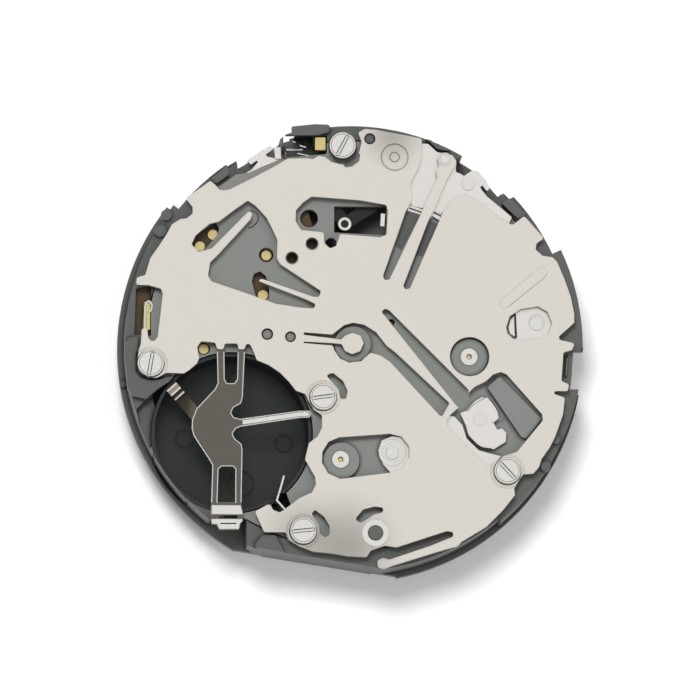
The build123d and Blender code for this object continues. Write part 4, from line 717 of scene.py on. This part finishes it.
settingRing = {
    "pixel": (344.6, 223.2),
    "outer": 0.00042,
    "inner": 0.00024,
    "height": 0.00008,
    "soft": 0.00002,
}
top = levels["wallTop"]
makeRing("settingRing", settingRing["pixel"], settingRing["outer"], settingRing["inner"], top,
         top + settingRing["height"], "screwSteel", "setting_lever",
         soft=settingRing["soft"])
settingStop = {
    "outline": ((380.6, 212.4), (385.0, 212.8), (384.2, 225.6), (380.0, 225.2)),
    "bottom": 0.00438,
    "top": 0.00441,
}
makePlate("settingStop", settingStop["outline"], settingStop["bottom"], settingStop["top"],
          "leverSteel")

# Washers and heads on the lever studs

studWashers = {
    "operatingPixel": (536.0, 321.0),
    "hammerPinPixel": (392.0, 452.5),
    "operatingRadii": (0.00053, 0.00043),
    "hammerRadii": (0.00085, 0.00062),
    "thin": 0.00003,
    "hexRadius": 0.00046,
    "hexHeight": 0.0001,
    "hexSoft": 0.00003,
}
top = levels["leverTop"]
makeRing("operatingWasher", studWashers["operatingPixel"], *studWashers["operatingRadii"], top,
         top + studWashers["thin"], "screwSteel")
makeRing("hammerWasher", studWashers["hammerPinPixel"], *studWashers["hammerRadii"], top,
         top + studWashers["thin"], "screwSteel")
makeDisc("hammerHex", studWashers["hammerPinPixel"], studWashers["hexRadius"],
         levels["studTop"], levels["studTop"] + studWashers["hexHeight"], "screwSteel",
         soft=studWashers["hexSoft"], sides=6)
operatingSlit = {
    "ends": ((514.6, 312.4), (515.8, 337.0)),
    "width": 0.00009,
}
makeBar("operatingSlit", operatingSlit["ends"], operatingSlit["width"], top,
        top + making["line"], "chipResin", "operating_lever")

# The bright face of the strap's latch

latchFace = {
    "upper": ((212.4, 506.0), (241.2, 506.0), (243.2, 513.6), (243.2, 515.2), (212.2, 515.2)),
    "lower": ((212.2, 519.8), (243.2, 519.8), (242.8, 522.0), (240.4, 524.2), (239.6, 529.8),
              (220.2, 530.0), (217.8, 525.0), (212.4, 524.6)),
    "height": 0.00003,
    "line": ((221.0, 524.4), (237.0, 524.2)),
    "lineWidth": 0.00008,
}
top = levels["coverTop"]
for name in ("upper", "lower"):
    makePlate("latchFace" + name.title(), latchFace[name], top, top + latchFace["height"],
              "screwSteel", "battery_clamp")
makeBar("latchLine", latchFace["line"], latchFace["lineWidth"], top + latchFace["height"],
        top + latchFace["height"] + making["line"], "chipResin", "battery_clamp")

# Painted highlight: bright wires along the edge of the strap, and a bright face on its arm

strapEdgeHighlight = {
    "outline": ((217.8, 352.5), (218.7, 384.0), (216.0, 390.0), (197.5, 410.0), (193.3, 421.0),
                (193.0, 430.0), (195.0, 437.0), (210.0, 460.0), (213.5, 466.0), (212.4, 503.5)),
    "right": ((244.7, 352.5), (242.6, 398.0), (241.0, 404.0), (233.5, 408.0), (231.0, 414.0),
              (234.0, 418.5), (240.5, 420.2), (300.0, 411.6), (309.0, 411.5), (311.0, 414.5),
              (309.0, 417.5), (300.0, 417.8), (240.8, 427.0), (235.5, 429.5), (232.5, 434.5),
              (235.0, 440.0), (241.5, 445.0), (242.4, 450.0), (241.5, 503.5)),
    "fork": ((224.3, 352.5), (224.6, 380.0), (227.0, 384.5), (235.0, 384.5), (238.0, 380.0),
             (238.6, 352.5)),
    "window": ((217.6, 504.0), (218.6, 470.0), (222.0, 466.8), (234.0, 466.8), (236.4, 470.0),
               (236.2, 504.0)),
    "radius": 0.000045,
    "sink": 0.00001,
    "arm": ((243.0, 420.9), (300.0, 412.6), (308.0, 412.4), (309.8, 414.5), (308.0, 416.6),
            (300.0, 416.8), (243.0, 425.4)),
    "armHeight": 0.00001,
}
edgeLevel = levels["coverTop"] - strapEdgeHighlight["sink"]
# Bright wires along the strap's edges: painted highlight
for name in ("outline", "right", "fork", "window"):
    makeWire("strapEdgeHighlight" + name.title(), [(*pixel, edgeLevel) for pixel in strapEdgeHighlight[name]],
             strapEdgeHighlight["radius"], "screwSteel", "battery_clamp")
makePlate("strapArmFace", strapEdgeHighlight["arm"], levels["coverTop"],
          levels["coverTop"] + strapEdgeHighlight["armHeight"], "screwSteel", "battery_clamp")

# Painted shade on the screw heads, as dark lines beside each slot and round each rounded edge,
# and a painted shadow round each foot

screwShadeLines = {
    "pixels": ((342.2, 145.0), (151.5, 365.0), (323.0, 397.6), (303.3, 531.5), (506.4, 470.5)),
    "angles": (62.0, 80.0, 8.0, 6.0, -47.0),
    "headTop": 0.00508,
    "slotHalf": 0.00010,
    "slotReach": 0.00062,
    "lineWidth": 0.000045,
    "rim": (0.00073, 0.00069),
    "foot": (0.00088, 0.000825),
}
# Each screw gets painted shade as dark lines by its slot and round its head, and a painted shadow
# round its foot
for index, (pixel, angle) in enumerate(zip(screwShadeLines["pixels"], screwShadeLines["angles"])):
    top = screwShadeLines["headTop"]
    centre = Vector(lifted(pixel, levels["coverTop"], top))
    run = Vector((math.cos(math.radians(angle)), -math.sin(math.radians(angle))))
    side = Vector((-run.y, run.x)) * (screwShadeLines["slotHalf"] / plan["perPixel"])
    reach = run * (screwShadeLines["slotReach"] / plan["perPixel"])
    for letter, shift in (("A", side), ("B", -side)):
        makeBar(f"screwSlotShade{index + 1}{letter}", (centre + shift - reach, centre + shift + reach),
                screwShadeLines["lineWidth"], top, top + making["line"], "chipResin")
    makeRing(f"screwRimShade{index + 1}", centre, *screwShadeLines["rim"], top, top + making["line"],
             "contactSteel")
    makeRing(f"screwFootShadow{index + 1}", pixel, *screwShadeLines["foot"], levels["coverTop"],
             levels["coverTop"] + making["line"], "chipResin")
print("screw marks made")

# The painted shade on the end of the reset lever, the marks on the hammer with a painted
# shadow along its lower edge, and the plate beside the operating lever

resetShade = {
    "outline": ((217.8, 187.4), (222.6, 190.4), (229.4, 189.4), (250.0, 179.0), (288.0, 158.4),
                (280.5, 158.6), (264.0, 165.4), (249.0, 172.4), (236.0, 174.2)),
    "height": 0.00001,
}
top = levels["leverTop"]
makePlate("resetShade", resetShade["outline"], top, top + resetShade["height"], "shadedSteel",
          "reset_lever")
hammerMarks = {
    "lines": (((466.4, 411.0), (474.2, 402.6)), ((474.2, 402.6), (486.6, 395.8)),
              ((490.0, 396.6), (502.4, 415.6)), ((502.4, 416.2), (491.0, 422.4))),
    "curve": ((466.4, 433.4), (472.4, 441.8), (482.0, 447.6), (490.6, 448.2)),
    "width": 0.00005,
}
top = levels["hammerTop"]
for index, ends in enumerate(hammerMarks["lines"]):
    makeBar(f"hammerLine{index + 1}", ends, hammerMarks["width"], top, top + making["line"],
            "shadedSteel", "hammer")
# A dark line along the hammer's lower edge: painted shadow
makeWire("hammerShadowLine", [(*pixel, top) for pixel in hammerMarks["curve"]],
         hammerMarks["width"], "chipResin", "hammer")
operatingPlate = {
    "outline": ((507.6, 326.0), (509.8, 318.4), (513.8, 314.2), (514.4, 335.4), (509.6, 332.6)),
    "bottom": 0.00396,
    "top": 0.00399,
}
makePlate("operatingPlate", operatingPlate["outline"], operatingPlate["bottom"],
          operatingPlate["top"], "leverSteel")

# Painted shade on the floor of the two long slots and in the recess round the finger's tip,
# and painted shade as lines round what is pressed into the cover

slotShade = {
    "outlines": (((406.5, 209.5), (419.5, 214.1), (401.2, 248.9), (394.9, 245.3)),
                 ((428.2, 218.9), (438.2, 222.9), (421.6, 255.6), (415.5, 254.1))),
}
top = levels["bridgeTop"]
# Darker patches on the slot floors: painted shade
for index, outline in enumerate(slotShade["outlines"]):
    makePlate(f"slotShade{index + 1}", outline, top, top + making["skin"], "greyPlastic")
fingerRecessShade = {
    "points": ((251.0, 210.2), (254.6, 211.6), (257.8, 214.8), (258.6, 218.6), (256.6, 223.0),
               (252.6, 226.8), (248.6, 228.2)),
    "radius": 0.000028,
}
# A dark line round the finger's tip: painted shade in the recess
makeWire("fingerRecessShade", [(*pixel, top) for pixel in fingerRecessShade["points"]],
         fingerRecessShade["radius"], "chipResin")
pressedEdgeShade = {
    "ringPixel": (394.4, 155.8),
    "outer": (0.00087, 0.00083),
    "inner": (0.00031, 0.00028),
    "rib": ((501.8, 304.6), (500.2, 302.4), (500.6, 299.6), (538.6, 268.6), (541.6, 267.6),
            (544.6, 269.2), (546.0, 272.0), (544.8, 275.2), (508.0, 305.6), (504.6, 306.4),
            (501.8, 304.6)),
    "radius": 0.00001,
}
top = levels["coverTop"]
# Darker rings and a rib line on the cover: painted shade along the edges of the pressing
for name in ("outer", "inner"):
    makeRing("pressed" + name.title(), pressedEdgeShade["ringPixel"], *pressedEdgeShade[name], top,
             top + making["line"], "contactSteel")
makeWire("pressedRib", [(*pixel, top) for pixel in pressedEdgeShade["rib"]],
         pressedEdgeShade["radius"], "contactSteel")

# Ribs pressed across the contact strip

contactRibs = {
    "ends": (((167.8, 392.8, 0.00418), (177.4, 384.4, 0.00418)),
             ((171.6, 397.0, 0.00408), (181.0, 388.6, 0.00408)),
             ((175.2, 401.2, 0.00366), (184.6, 392.8, 0.00366))),
    "radius": 0.00009,
}
for index, points in enumerate(contactRibs["ends"]):
    makeWire(f"contactRib{index + 1}", points, contactRibs["radius"], "screwSteel")

# The opening at the right of the rim: a dark sheet of painted shade, and a spring in it

rimOpening = {
    "outline": ((563.4, 353.6), (567.4, 353.8), (566.2, 377.0), (562.2, 376.8)),
    "spring": ((566.2, 357.0, 0.00396), (565.2, 374.0, 0.00396)),
    "springRadius": 0.00005,
}
top = levels["wallTop"]
# A dark sheet over the opening: painted shade
makePlate("rimOpening", rimOpening["outline"], top, top + making["skin"], "chipResin")
makeWire("rimSpring", rimOpening["spring"], rimOpening["springRadius"], "contactSteel")
print("small pieces made")

bpy.context.scene.view_settings.view_transform = "Standard"
